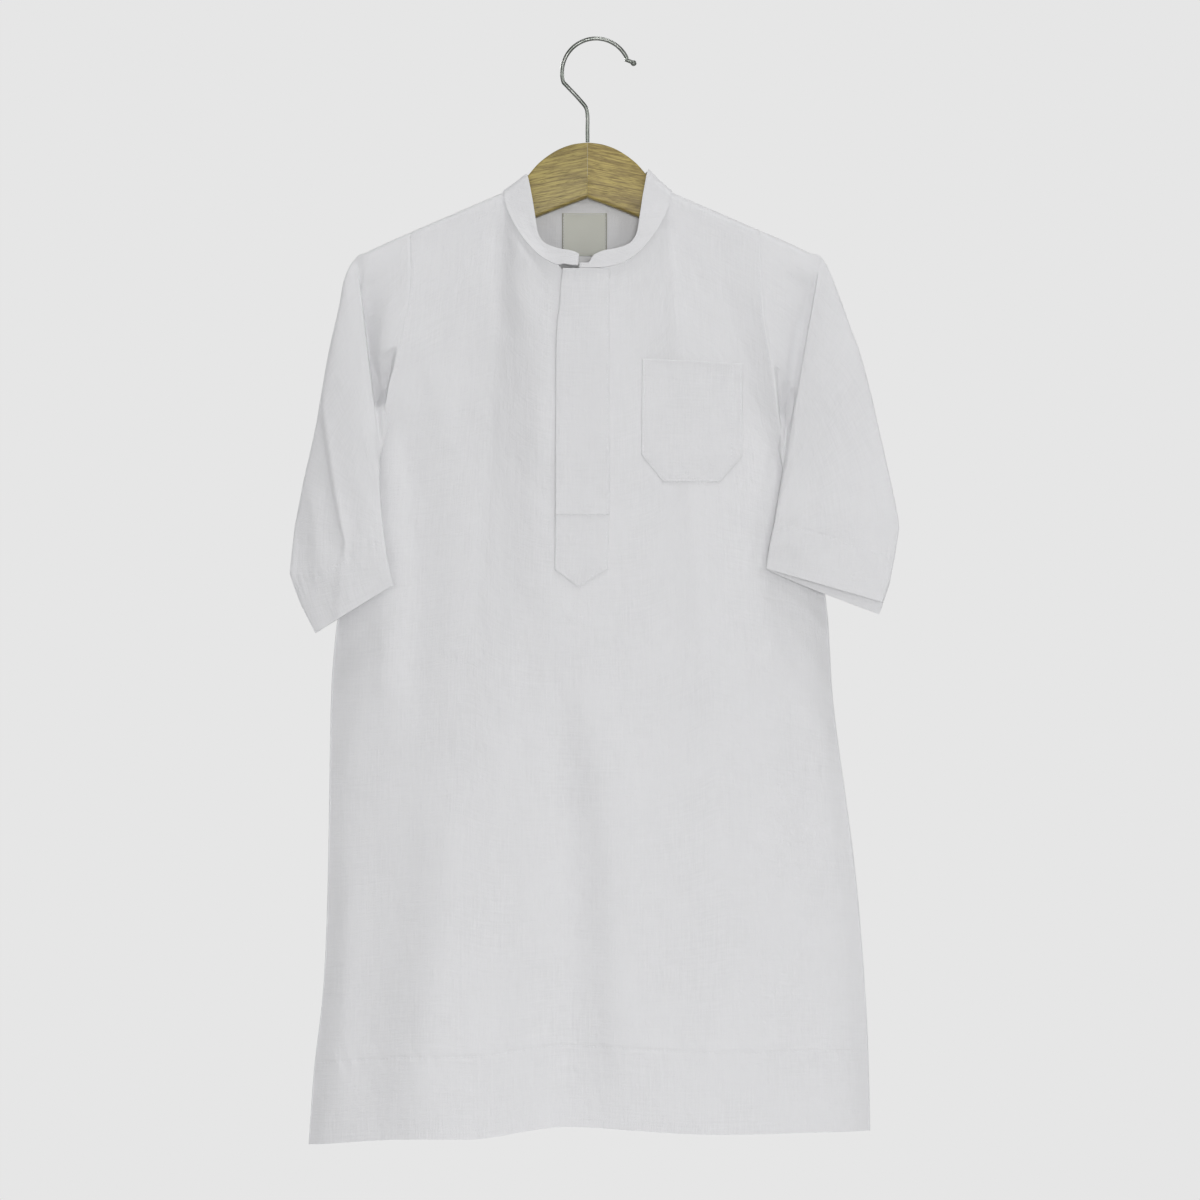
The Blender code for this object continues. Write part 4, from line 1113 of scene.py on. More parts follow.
def laid_piece(name, tree, plan, proud, gap, soften=0):
    """Cloth over a plan of (x, z) points: proud of the cloth under it, with a gap behind."""
    under = np.array([[cast(tree, px, pz)[0] for px, pz in row] for row in plan])
    # a place past the edge of the cloth takes the depth of the place below or above it
    for r in range(len(under) - 2, -1, -1):
        under[r] = np.where(np.isnan(under[r]), under[r + 1], under[r])
    for r in range(1, len(under)):
        under[r] = np.where(np.isnan(under[r]), under[r - 1], under[r])
    for _ in range(soften):
        under[1:-1] = (under[:-2] + 2 * under[1:-1] + under[2:]) / 4
    outer = np.dstack([plan[..., 0], under - proud, plan[..., 1]])
    inner = np.dstack([plan[..., 0], under - gap, plan[..., 1]])
    vertices, faces, maps = wall_parts(outer, inner, cloth_map(outer))
    new_piece(name, vertices, faces, maps)
    print(name, len(faces) * 2, "triangles")


front_tree = tree_of("front_cloth")
print("the front's cloth at (60, -300) lies at y =", round(cast(front_tree, 60, -300)[0], 1))

# %% The placket
# outline: z, left x, right x
PLACKET = (
    (-173.2, -18.4, 16.4),
    (-186, -20, 16.4),
    (-198, -20.6, 16.4),
    (-217, -22.8, 16.5),
    (-236, -23.4, 16.4),
    (-296, -23.6, 16.4),
    (-356, -23.8, 16.3),
    (-397, -24.4, 15),
)
TOP_Z, TAIL_Z, TUCK_Z = PLACKET[0][0], PLACKET[-1][0], -356.0
TAIL = (-6.3, -410.4)
placket_shares = np.concatenate([[0, 0.008, 0.02, 0.04], np.linspace(0.07, 0.93, 26), [0.96, 0.98, 0.992, 1]])
tail_shares = (0.1, 0.2, 0.3, 0.4, 0.5, 0.6, 0.7, 0.8, 0.88, 0.94, 0.975)


def placket_grid():
    """Rows of (x, z) points down the placket, closer together at its ends and at its tuck."""
    near_tuck = [-355.5, -355.75, -356.0, -356.2, -356.4]
    near_top = [TOP_Z, -173.6, -174.2]
    levels = np.concatenate([near_top, np.linspace(-175.2, -396, 150), near_tuck, [TAIL_Z]])
    ends = [(at_key(PLACKET, z)[1], at_key(PLACKET, z)[2], z) for z in np.sort(levels)[::-1]]
    left, right = PLACKET[-1][1:]
    for share in tail_shares:
        low, high = left + (TAIL[0] - left) * share, right + (TAIL[0] - right) * share
        ends.append((low, high, TAIL_Z + (TAIL[1] - TAIL_Z) * share))
    return np.array([[(low + (high - low) * k, z) for k in placket_shares] for low, high, z in ends])


plan = placket_grid()
x, z = plan[..., 0], plan[..., 1]
from_left = x - x[:, :1]
from_right = x[:, -1:] - x
from_top = TOP_Z - z
loose = ease((z + 388) / 30)
gap = 0.12 + 0.5 * loose * np.exp(-from_left / 5.5)
gap = gap + 1.5 * np.exp(-from_top / 3.5) * ease(from_right / 12)
gap = gap * (1 - 0.6 * ease(1 - from_right / 14)) + 0.2 * loose * np.exp(-from_left / 5) * np.sin(z / 19.0)
edge = least(from_left, from_right, np.maximum(from_top, 0))
folded = 0.3 * bell(from_left - 4.5, 3.0) * loose
proud = gap + (0.85 - 0.3 * ease(1 - from_right / 14)) * rounded(edge) + folded
proud += 0.12 * ripple(x, z, 30, 60, 21)
proud -= 0.2 * bell(from_right - 1.6, 0.8)
# the part above the tail hangs over it in a small tuck
proud += 0.6 * ease((z - TUCK_Z + 0.3) / 0.6) * np.exp(-np.maximum(z - TUCK_Z, 0) / 22)
laid_piece("placket_strip", front_tree, plan, proud, gap, soften=2)
print("the placket is", round(TOP_Z - TAIL[1], 1), "mm long")

# %% The chest pocket
POCKET_TOP = ((40.8, -239.6), (116.4, -243.0))
POCKET_BOTTOM = ((40.0, -331.6), (115.4, -331.6))
POCKET_CORNER = (16.5, 20.0)
pocket_ends = [0, 0.005, 0.012, 0.02], [0.98, 0.988, 0.995, 1]
pocket_shares = np.concatenate([pocket_ends[0], np.linspace(0.035, 0.965, 48), pocket_ends[1]])
pocket_rows = np.concatenate([[0, 0.004, 0.01, 0.018], np.linspace(0.03, 0.985, 62), [0.992, 0.997, 1]])


def pocket_grid():
    """Rows of (x, z) points down the pocket; its bottom corners are cut off."""
    rows = []
    cut_x, cut_z = POCKET_CORNER
    for share in pocket_rows:
        left = blend(POCKET_TOP[0], POCKET_BOTTOM[0], share)
        right = blend(POCKET_TOP[1], POCKET_BOTTOM[1], share)
        inset = cut_x * max(0.0, 1 - (left[1] - POCKET_BOTTOM[0][1]) / cut_z)
        ends = [left[0] + inset, left[1]], [right[0] - inset, right[1]]
        rows.append([blend(*ends, k) for k in pocket_shares])
    return np.array(rows)


plan = pocket_grid()
x, z = plan[..., 0], plan[..., 1]
from_left, from_right = x - x[:, :1], x[:, -1:] - x
top_line = POCKET_TOP[0][1] + (x - POCKET_TOP[0][0]) * (POCKET_TOP[1][1] - POCKET_TOP[0][1]) / 75.6
from_top = np.maximum(top_line - z, 0)
from_bottom = z - POCKET_BOTTOM[0][1]
from_ends = np.minimum(from_left, from_right)
free = ease(from_left / 10) * ease(from_right / 10)
gap = 0.15 + 1.5 * np.exp(-from_top / 6.0) * free
hem_fold = 0.2 * ease((15 - from_top) / 5)
proud = gap + 0.7 * rounded(least(from_ends, from_top, from_bottom)) + hem_fold
proud += 0.5 * free * ease(from_bottom / 20) * ease(from_top / 20)
proud += 0.14 * ripple(x, z, 34, 52, 33)
for from_edge in (from_ends, from_bottom):
    proud -= 0.3 * bell(from_edge - 1.4, 0.7)
laid_piece("pocket_patch", front_tree, plan, proud, gap, soften=1)
print("the pocket is", POCKET_BOTTOM[1][0] - POCKET_BOTTOM[0][0], "mm wide")

# %% [markdown]
# ## Inside the neck
# Two small pieces are sewn inside the back: a woven label and, below it, a size tab.
# Both are left bare here. They are laid on the back's inner side in the same way.

# %% Label and tab
LABEL_BOX = (-19.2, 14.6, -160.8, -128.6)
TAB_BOX = (-7.4, 3.8, -172.0, -161.2)
back_tree = tree_of("back_cloth")
shares = np.concatenate([[0, 0.02, 0.05], np.linspace(0.1, 0.9, 17), [0.95, 0.98, 1]])
for name, (x0, x1, z0, z1), bend in (
    ("neck_label_woven", LABEL_BOX, 0.5),
    ("size_tab_cloth", TAB_BOX, 0.7),
):
    plan = np.array([[(x0 + (x1 - x0) * k, z1 + (z0 - z1) * down) for k in shares] for down in shares])
    x, z = plan[..., 0], plan[..., 1]
    edge = least(x - x0, x1 - x, z - z0, z1 - z)
    gap = 0.2 + bend * np.sin(np.pi * (x - x0) / (x1 - x0)) * ease((z1 - z) / 14)
    proud = gap + 0.55 * (0.4 + 0.6 * np.clip(edge / 0.6, 0, 1) ** 0.5)
    laid_piece(name, back_tree, plan, proud, gap)
print("the label is", round(LABEL_BOX[1] - LABEL_BOX[0], 1), "mm wide")

# %% [markdown]
# ## Stitches
# Machine stitches are what makes cloth look sewn. Each one is a tiny rounded bar of
# thread, three millimetres from the next, half sunk in the cloth. We draw each line of
# sewing as a path on the cloth, then set the bars along it, all in one mesh.

# %% One stitch
BAR_SIDES = 6


def stitch_bar(sides):
    """A thread bar of unit length, width and height: points and faces."""
    points = [(-0.5, 0.0, -0.25)]
    for along in (-0.33, 0.33):
        for k in range(sides):
            turn = 2 * math.pi * k / sides
            points.append((along, math.cos(turn) / 2, math.sin(turn) / 2))
    points.append((0.5, 0.0, -0.25))
    faces, middle, last = [], [], []
    for k in range(sides):
        here, after = 1 + k, 1 + (k + 1) % sides
        faces.append([0, after, here])
        middle.append([here, after, sides + after, sides + here])
        last.append([sides + here, sides + after, len(points) - 1])
    return np.array(points), faces + middle + last


BAR_POINTS, BAR_FACES = stitch_bar(BAR_SIDES)
print("a stitch has", len(BAR_POINTS), "points and", len(BAR_FACES), "faces")

# %% Lines of stitches
stitch_vertices, stitch_faces = [], []


def stitch_count():
    return len(stitch_vertices) // len(BAR_POINTS)


def sew(path, normals, pitch=3.0, length=2.1, width=0.5, height=0.4):
    """Stitches along a path in garment millimetres."""
    path, normals = np.asarray(path, float), np.asarray(normals, float)
    good = ~np.isnan(path).any(axis=1)
    path, normals = path[good], normals[good]
    far = np.concatenate([[0.0], np.cumsum(np.linalg.norm(np.diff(path, axis=0), axis=1))])
    spots = np.arange(pitch / 2, far[-1], pitch)

    def at(places, values):
        return np.stack([np.interp(places, far, values[:, c]) for c in range(3)], axis=1)

    centre, normal = at(spots, path), at(spots, normals)
    along = at(np.minimum(spots + 1, far[-1]), path) - at(np.maximum(spots - 1, 0), path)
    along /= np.linalg.norm(along, axis=1, keepdims=True)
    beside = np.cross(normal, along)
    beside /= np.linalg.norm(beside, axis=1, keepdims=True)
    normal = np.cross(along, beside)
    for c, a, b, n in zip(centre, along, beside, normal):
        start = len(stitch_vertices)
        bar = c + BAR_POINTS[:, :1] * a * length + BAR_POINTS[:, 1:2] * b * width
        bar += (BAR_POINTS[:, 2:] * height + 0.06) * n
        stitch_vertices.extend(bar.tolist())
        stitch_faces.extend([[start + i for i in face] for face in BAR_FACES])


def sew_on_front(tree, points, **sizes):
    """Stitches along straight lines between (x, z) points, set on what a ray hits."""
    path, normals = [], []
    for (x0, z0), (x1, z1) in zip(points, points[1:]):
        count = max(2, int(math.hypot(x1 - x0, z1 - z0)))
        for k in range(count):
            x, z = x0 + (x1 - x0) * k / count, z0 + (z1 - z0) * k / count
            y, normal = cast(tree, x, z)
            path.append((x, y, z))
            normals.append(normal)
    sew(path, normals, **sizes)


trim_tree = tree_of("placket_strip", "pocket_patch", "front_cloth")
for line in (
    [(14.8, -176), (14.8, -296), (14.7, -356), (13.4, -396.4)],
    [(-22.6, -356), (15.2, -356)],
    [(-22.6, -358), (-22.9, -396.2), (TAIL[0], -408.2), (13.4, -396.4)],
    [(42.3, -241.0), (41.5, -310.9), (57.4, -330.2), (98.0, -330.2), (114.0, -310.9), (114.9, -244.4)],
    [(108.2, -243.8), (107.6, -316.6)],
):
    sew_on_front(trim_tree, line)
print(stitch_count(), "stitches so far")

# %% Hem, cuffs, seams and collar
front_ways = ways_out(front)
back_ways = ways_out(back, flip=True)
collar_ways = ways_out(collar, flip=True)


def level_line(grid, ways, line):
    """The line of a panel that follows an (x, z) path, column by column."""
    xs, zs = zip(*line)
    path, normals = [], []
    for c in range(3, grid.shape[1] - 3):
        column = grid[:, c]
        wanted = np.interp(column[:, 0], xs, zs)
        over = np.nan_to_num(column[:, 2] - wanted, nan=1e3)
        r = int(np.argmax(over < 0))
        share = over[r - 1] / (over[r - 1] - over[r])
        path.append(column[r - 1] + (column[r] - column[r - 1]) * share)
        normals.append(ways[r, c])
    return path, normals


def between_rows(values, place):
    """A line of a grid at a fractional row."""
    low = int(place)
    share = place - low
    return values[low] * (1 - share) + values[low + 1] * share


sew(*level_line(front, front_ways, HEM_LINE))
sew(*level_line(back, back_ways, BACK_LINE))
for name, grid in sleeves.items():
    ways = ways_out(grid, True, name == "sleeve_right")
    down = running(grid, 0)
    around = [*range(grid.shape[1]), 0]
    spots = [(int(np.argmax(down[-1, c] - down[:, c] < CUFF_STITCH)), c) for c in around]
    sew([grid[spot] for spot in spots], [ways[spot] for spot in spots])
for level in (1.6, 12.4):
    sew(between_rows(collar, level), between_rows(collar_ways, level), pitch=2.8)
for first, last in ((3, 30), (-31, -4)):
    path = back[2, first:last] * 0.5 + back[3, first:last] * 0.5
    sew(path, back_ways[2, first:last])
for grid, ways, rows in ((front, front_ways, slice(4, 54)), (back, back_ways, slice(18, 66))):
    for column in (5, -6):
        sew(grid[rows, column], ways[rows, column])
label_tree = tree_of("neck_label_woven")
x0, x1, z0, z1 = LABEL_BOX
low, high = (x0 + 1, z0 + 1), (x1 - 1, z1 - 1)
for line in ([low, (low[0], high[1])], [(high[0], low[1]), high], [(low[0], high[1]), high]):
    sew_on_front(label_tree, line, pitch=2.2, length=1.5)
new_piece("stitch_threads", stitch_vertices, stitch_faces)
print(stitch_count(), "stitches in all")

# %% [markdown]
# ## The hanger
# The hanger is sawn from a beech board in two halves and rounded along its edges. It
# is thickest at the neck and thins towards its tips. The wire hook is one bent rod with
# a ball at its tip. We run sections along each of them.

# %% The wooden halves
# the right half: x, top, bottom, half thickness
HANGER = (
    (0, -76.9, -118, 6),
    (12, -78.6, -122.4, 6),
    (24, -83.4, -127, 6),
    (36, -92, -131.8, 6),
    (44.6, -101.8, -135.2, 6),
    (52, -111.2, -138.4, 6),
    (60, -118.2, -141.8, 6),
    (72, -121.2, -146.2, 6),
    (90, -127.9, -151.6, 6),
    (110, -136.7, -158, 6),
    (130, -145.3, -164.4, 5.4),
    (150, -154.4, -171, 4.6),
    (160, -159.6, -174.2, 3.8),
    (166, -165.2, -173.4, 2.6),
)


def board_section(top, bottom, half):
    """A board's section with rounded long edges: y, z."""
    edge = min(2.2, (top - bottom) * 0.4, half * 0.8)
    section = []
    for centre_y, centre_z, first in (
        (half - edge, top - edge, 0),
        (-half + edge, top - edge, 90),
        (-half + edge, bottom + edge, 180),
        (half - edge, bottom + edge, 270),
    ):
        for step in range(7):
            turn = math.radians(first + 15 * step)
            section.append((centre_y + edge * math.cos(turn), centre_z + edge * math.sin(turn)))
    return section


def lofted(name, rings):
    """A closed solid through rings of points, with a flat cap at both ends."""
    rings = np.asarray(rings, float)
    count, sides = rings.shape[:2]
    faces = []
    for r in range(count - 1):
        for k in range(sides):
            a, b = r * sides + k, r * sides + (k + 1) % sides
            faces.append([a, b, b + sides, a + sides])
    faces.append(list(range(sides))[::-1])
    faces.append([(count - 1) * sides + k for k in range(sides)])
    new_piece(name, rings.reshape(-1, 3), faces, sharp=40)


HALF_STATIONS, WIRE_SIDES = 92, 16
for name, side in (("hanger_left_wood", -1), ("hanger_right_wood", 1)):
    rings = []
    for index, k in enumerate(np.linspace(0, len(HANGER) - 1, HALF_STATIONS)):
        x, top, bottom, half = spline(HANGER, k)
        inset = 0.12 if index == 0 else 0.0
        x = max(x, 0.05 + 0.15 * (index == 1))
        ring = [(side * x, y, z) for y, z in board_section(top - inset, bottom + inset, half - inset)]
        rings.append(ring if side > 0 else ring[::-1])
    lofted(name, rings)
print("each half has", HALF_STATIONS, "sections")

# %% The wire hook
HOOK_STEM = ((0.0, -76.2), (0.0, -66.0), (0.0, -57.0), (-1.0, -50.6), (-6.0, -44.2), (-11.8, -37.9))
HOOK_END = ((29.0, -14.6), (31.4, -15.4))
HOOK_CENTRE, HOOK_RADIUS = (6.4, -24.0), 25.5
HOOK_BALL_CENTRE, HOOK_BALL, WIRE_RADIUS = (34.6, -17.0), 2.2, 1.5
path = [spline(HOOK_STEM, 5 * k / 40) for k in range(41)]
for k in range(90):
    turn = math.radians(197.0 - 172.0 * k / 89)
    beside, above = HOOK_RADIUS * math.cos(turn), HOOK_RADIUS * math.sin(turn)
    path.append((HOOK_CENTRE[0] + beside, HOOK_CENTRE[1] + above))
path = [Vector((x, 0.0, z)) for x, z in path + list(HOOK_END)]
radii = [WIRE_RADIUS] * len(path)
tip = Vector((HOOK_BALL_CENTRE[0], 0.0, HOOK_BALL_CENTRE[1]))
ahead = (tip - path[-1]).normalized()
for angle in range(140, 0, -14):
    path.append(tip + ahead * HOOK_BALL * math.cos(math.radians(angle)))
    radii.append(HOOK_BALL * math.sin(math.radians(angle)))
turns = [2 * math.pi * k / WIRE_SIDES for k in range(WIRE_SIDES)]
forwards = Vector((0.0, 1.0, 0.0))
rings = []
for index, (point, radius) in enumerate(zip(path, radii)):
    run = path[min(index + 1, len(path) - 1)] - path[max(index - 1, 0)]
    beside = forwards.cross(run.normalized())
    rings.append([point + (forwards * math.cos(t) + beside * math.sin(t)) * radius for t in turns])
lofted("hook_wire", rings)
print("hook:", len(path), "stations")

# %% [markdown]
# ## Materials as arithmetic
# A material in Blender is a small network of nodes. Written as plain arithmetic it is
# easier to read: we wrap a socket in a class, so that adding two of them adds a Math
# node. Everything else comes from one method, which takes a node's type, its settings
# and its inputs.

# %% A socket that can be added and multiplied
class Socket:
    """One output of a node, with arithmetic that adds Math nodes."""

    def __init__(self, tree, link=None):
        self.tree = tree
        self.link = link

    def node(self, kind, settings=None, inputs=None, output=0):
        """Adds a node, applies its settings, then fills or links its inputs."""
        new = self.tree.nodes.new("ShaderNode" + kind)
        for name, value in (settings or {}).items():
            setattr(new, name, value)
        for name, value in (inputs or {}).items():
            if isinstance(value, Socket):
                self.tree.links.new(value.link, new.inputs[name])
            else:
                new.inputs[name].default_value = value
        return Socket(self.tree, new.outputs[output])

    def math(self, operation, *values):
        return self.node("Math", {"operation": operation}, dict(enumerate(values)))

    def __add__(self, other):
        return self.math("ADD", self, other)

    def __sub__(self, other):
        return self.math("SUBTRACT", self, other)

    def __mul__(self, other):
        return self.math("MULTIPLY", self, other)

    __radd__ = __add__
    __rmul__ = __mul__

    def sin(self):
        return self.math("SINE", self)

    def within(self, low, high):
        """0 below low, 1 above high, smooth between."""
        return self.node(
            "MapRange",
            {"interpolation_type": "SMOOTHSTEP"},
            {"Value": self, "From Min": low, "From Max": high},
        )

    def stretched(self, sizes):
        """A vector, each part multiplied by its own number."""
        return self.node("VectorMath", {"operation": "MULTIPLY"}, {0: self, 1: sizes})

    def noise(self, detail=2.0, roughness=0.5):
        return self.node(
            "TexNoise", None, {"Vector": self, "Scale": 1.0, "Detail": detail, "Roughness": roughness}
        )

    def mixed(self, first, second):
        """Two colours mixed by this factor."""
        colours = [v if isinstance(v, Socket) else (*v, 1.0) for v in (first, second)]
        return self.node(
            "Mix", {"data_type": "RGBA"}, {0: self, 6: colours[0], 7: colours[1]}, output=2
        )

    def parts(self):
        """The x, y and z of a vector."""
        split = self.node("SeparateXYZ", None, {0: self})
        return [Socket(self.tree, end) for end in split.link.node.outputs]


def finish(name, constants, paint):
    """A material; paint returns what varies over it: colour, roughness and height."""
    material = bpy.data.materials.new(name)
    material.use_nodes = True
    tree = material.node_tree
    shader = tree.nodes["Principled BSDF"]
    for socket, value in constants.items():
        shader.inputs[socket].default_value = value
    varied = paint(Socket(tree))
    if "Height" in varied:
        height, distance = varied.pop("Height")
        bump = Socket(tree).node("Bump", None, {"Strength": 1.0, "Distance": distance, "Height": height})
        tree.links.new(bump.link, shader.inputs["Normal"])
    for socket, value in varied.items():
        tree.links.new(value.link, shader.inputs[socket])
    print("material", name, "has", len(tree.nodes), "nodes")
    return material


print("sockets ready")

# %% [markdown]
# ## White poplin
# Poplin is a plain weave of fine cotton: about three threads to the millimetre each
# way. Seen whole, what shows are the slubs, the thicker stretches of single threads,
# which make faint upright and level streaks. So we add a weave that is finer than a
# pixel, two stretched noises for the slubs, and a slow cloudiness in the white.

# %% Poplin, thread and label
def cloth_vector(start):
    """The flat cloth coordinates, in millimetres."""
    return start.node("UVMap", {"uv_map": "cloth"}).stretched((1000.0, 1000.0, 0.0))


def slubs(flat, warp, weft):
    """Long thin streaks along both thread ways, from 0 to 1."""
    upright = flat.stretched((1 / warp[0], 1 / warp[1], 1.0)).noise(1.0)
    level = flat.stretched((1 / weft[1], 1 / weft[0], 1.0)).noise(1.0)
    return upright * 0.55 + level * 0.45


def poplin(tint):
    def paint(start):
        flat = cloth_vector(start)
        u, v, _ = flat.parts()
        weave = (u * (2 * math.pi / 0.36)).sin() * (v * (2 * math.pi / 0.34)).sin()
        fine = slubs(flat, (0.45, 9.0), (0.5, 8.0))
        broad = slubs(flat, (1.6, 34.0), (1.8, 26.0))
        cloud = flat.stretched((0.018, 0.014, 1.0)).noise(2.0)
        soft = flat.stretched((0.07, 0.045, 1.0)).noise(2.0)
        shade = (fine * 0.5 + broad * 0.5).within(0.36, 0.64)
        colour = shade.mixed(tuple(c * 0.94 for c in tint), tint)
        colour = cloud.within(0.3, 0.7).mixed(colour, tuple(c * 0.985 for c in tint))
        return {
            "Base Color": colour,
            "Roughness": 0.8 + fine * 0.12,
            "Height": (weave * 0.03 + fine * 0.2 + broad * 0.28 + soft * 1.0, 0.0011),
        }

    return paint


WHITE = (0.800, 0.800, 0.812)
cloth_constants = {
    "Sheen Weight": 0.3,
    "Sheen Roughness": 0.45,
    "Specular IOR Level": 0.25,
}
white = finish("white_poplin_cloth", cloth_constants, poplin(WHITE))
# painted light: the size tab gets a brighter copy of the white poplin, to make up for the shade it sits in
# behind the collar
lit_tab_white = finish("white_tab_painted_light", cloth_constants, poplin((0.93, 0.93, 0.93)))
# painted shade: the collar, placket and pocket get a slightly darker copy of the white poplin, so that the
# collar, which faces up into the high lamps, is no brighter than the body
shaded_white = finish("white_poplin_painted_shade", cloth_constants, poplin((0.785, 0.785, 0.797)))


def thread_paint(start):
    where = start.node("NewGeometry")
    twist = where.stretched((2600.0, 900.0, 2600.0)).noise(1.0)
    return {
        "Base Color": twist.within(0.3, 0.7).mixed((0.70, 0.705, 0.72), (0.86, 0.865, 0.88)),
        "Roughness": 0.5 + twist * 0.2,
        "Height": (twist, 0.00012),
    }


thread = finish("white_thread", {"Sheen Weight": 0.1}, thread_paint)


def label_paint(start):
    flat = cloth_vector(start)
    u, v, _ = flat.parts()
    rib = (v * (2 * math.pi / 0.7)).sin() * 0.5 + 0.5
    cross = (u * (2 * math.pi / 0.42)).sin() * 0.5 + 0.5
    edge = u.math("ABSOLUTE", u).within(15.2, 16.3)
    speckle = flat.stretched((1.5, 2.1, 1.0)).noise(2.0)
    tone = (rib * 0.35 + cross * 0.15 + speckle * 0.5).within(0.25, 0.75)
    colour = tone.mixed((0.56, 0.565, 0.50), (0.72, 0.725, 0.66))
    return {
        "Base Color": edge.mixed(colour, (0.38, 0.375, 0.32)),
        "Roughness": 0.55 + speckle * 0.2,
        "Height": (rib * 0.5 + cross * 0.3 + speckle * 0.2, 0.00012),
    }


label = finish("woven_label_cloth", {"Sheen Weight": 0.3}, label_paint)
print("the poplin reflects", WHITE, "of the light")

# %% [markdown]
# ## Beech and steel
# Beech has a fine straight grain with short dark flecks. The board's grain runs along
# each arm, so its coordinates are turned by the arm's slope, and the two halves, cut
# from different pieces, differ a little in colour. The wire is drawn steel: bare, with
# faint lines along it and a slightly uneven shine.

# %% Wood and wire
def beech(slope, offset, dark, light):
    def paint(start):
        where = start.node("NewGeometry")
        turned = where.node(
            "VectorRotate",
            {"rotation_type": "Y_AXIS"},
            {"Vector": where, "Angle": slope},
        )
        moved = turned.node("VectorMath", {"operation": "ADD"}, {0: turned, 1: offset})
        wander = moved.stretched((14.0, 60.0, 60.0)).noise(3.0)
        long_grain = moved.stretched((55.0, 400.0, 1000.0)).noise(4.0, 0.65)
        fleck = moved.stretched((170.0, 600.0, 1500.0)).noise(2.0)
        tone = (long_grain * 0.75 + wander * 0.25).within(0.36, 0.64)
        streak = fleck.within(0.54, 0.72)
        colour = tone.mixed(dark, light)
        colour = (streak * 0.55).mixed(colour, tuple(c * 0.45 for c in dark))
        return {
            "Base Color": colour,
            "Roughness": 0.42 + long_grain * 0.25,
            "Height": (long_grain * 0.5 - streak * 0.5, 0.00018),
        }

    return paint


wood_constants = {"Coat Roughness": 0.35, "Coat Weight": 0.15}
left_wood = finish(
    "beech_left", wood_constants, beech(0.2, (0.0, 0.0, 0.0), (0.206, 0.15, 0.041), (0.443, 0.355, 0.109))
)
right_wood = finish(
    "beech_right", wood_constants, beech(-0.2, (0.7, 0.3, 0.2), (0.222, 0.157, 0.041), (0.49, 0.385, 0.112))
)


def wire_paint(start):
    where = start.node("NewGeometry")
    drawn = where.stretched((900.0, 2400.0, 900.0)).noise(3.0)
    patch = where.stretched((90.0, 90.0, 90.0)).noise(3.0)
    return {
        "Base Color": patch.within(0.35, 0.65).mixed((0.20, 0.215, 0.195), (0.34, 0.35, 0.33)),
        "Roughness": 0.28 + drawn * 0.18,
        "Height": (drawn, 0.00004),
    }


steel = finish("drawn_steel_wire", {"Metallic": 1.0}, wire_paint)


def floor_paint(start):
    where = start.node("NewGeometry")
    cloud = where.stretched((3.0, 3.0, 3.0)).noise(3.0)
    grit = where.stretched((240.0, 240.0, 240.0)).noise(2.0)
    return {
        "Base Color": cloud.within(0.3, 0.7).mixed((0.78, 0.785, 0.79), (0.83, 0.83, 0.83)),
        "Roughness": 0.7 + grit * 0.15,
        "Height": (grit, 0.0001),
    }


floor_white = finish("pale_floor", {"Specular IOR Level": 0.2}, floor_paint)
print("materials:", white.name, left_wood.name, right_wood.name, steel.name, floor_white.name)

# %% [markdown]
# ## Who stands for what
# Every visual piece rides on the one body of this object and stands for a plain solid
# of the model. For each large cloth piece we print its area and its share of its flat size.

# %% Riding, replacing and cutting sizes
PIECES = (
    ("front_cloth", white, "white_poplin", ["front_panel"]),
    ("back_cloth", white, "white_poplin", ["back_panel"]),
    ("sleeve_left_cloth", white, "white_poplin", ["sleeve_left"]),
    ("sleeve_right_cloth", white, "white_poplin", ["sleeve_right"]),
    ("collar_band", shaded_white, "white_poplin", ["collar"]),
    ("placket_strip", shaded_white, "white_poplin", ["front_placket"]),
    ("pocket_patch", shaded_white, "white_poplin", ["chest_pocket"]),
    ("neck_label_woven", label, "woven_label", ["neck_label"]),
    ("size_tab_cloth", lit_tab_white, "white_poplin", ["size_tab"]),
    ("hanger_left_wood", left_wood, "oiled_beech", ["hanger_left"]),
    ("hanger_right_wood", right_wood, "oiled_beech", ["hanger_right"]),
    ("hook_wire", steel, "steel_wire", ["hanger_hook"]),
    ("stitch_threads", thread, "white_poplin", []),
)
for name, material, slot, nodes in PIECES:
    piece = made[name]
    piece.data.materials.append(material)
    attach(piece, "root")
    if nodes:
        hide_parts(*nodes)


def cut_area(name):
    """The area of one side of a thin sheet, in square metres."""
    mesh = made[name].data
    return sum(face.area for face in mesh.polygons) / 2


SHEETS = (
    ("front_cloth", (0.47, 0.78), "hung", ["collar", "back_panel"]),
    ("back_cloth", (0.47, 0.80), "hung", ["hanger_left", "hanger_right"]),
    ("sleeve_left_cloth", (0.34, 0.30), "hung", ["hanger_left"]),
    ("sleeve_right_cloth", (0.34, 0.31), "hung", ["hanger_right"]),
    ("collar_band", (0.33, 0.026), "stretched", ["front_panel", "back_panel"]),
    ("placket_strip", (0.040, 0.238), "laid", ["front_panel"]),
    ("pocket_patch", (0.077, 0.093), "laid", ["front_panel"]),
    ("neck_label_woven", (0.034, 0.0325), "laid", ["back_panel"]),
    ("size_tab_cloth", (0.0115, 0.011), "laid", ["back_panel"]),
)
for name, flat, held, rests in SHEETS:
    area = cut_area(name)
    share = area / (flat[0] * flat[1])
    print(name, "area", round(area, 4), "share of its flat size", round(share, 2))

# %% [markdown]
# ## Light, floor and camera
# A white garment on a pale ground is shown by soft light from both sides: broad lamps
# high at the left and the right, and an even fill from all round. The camera stands
# level with the middle of the garment, far back, with a long lens, so that nothing
# leans. The floor is a pale disc well below the hem.

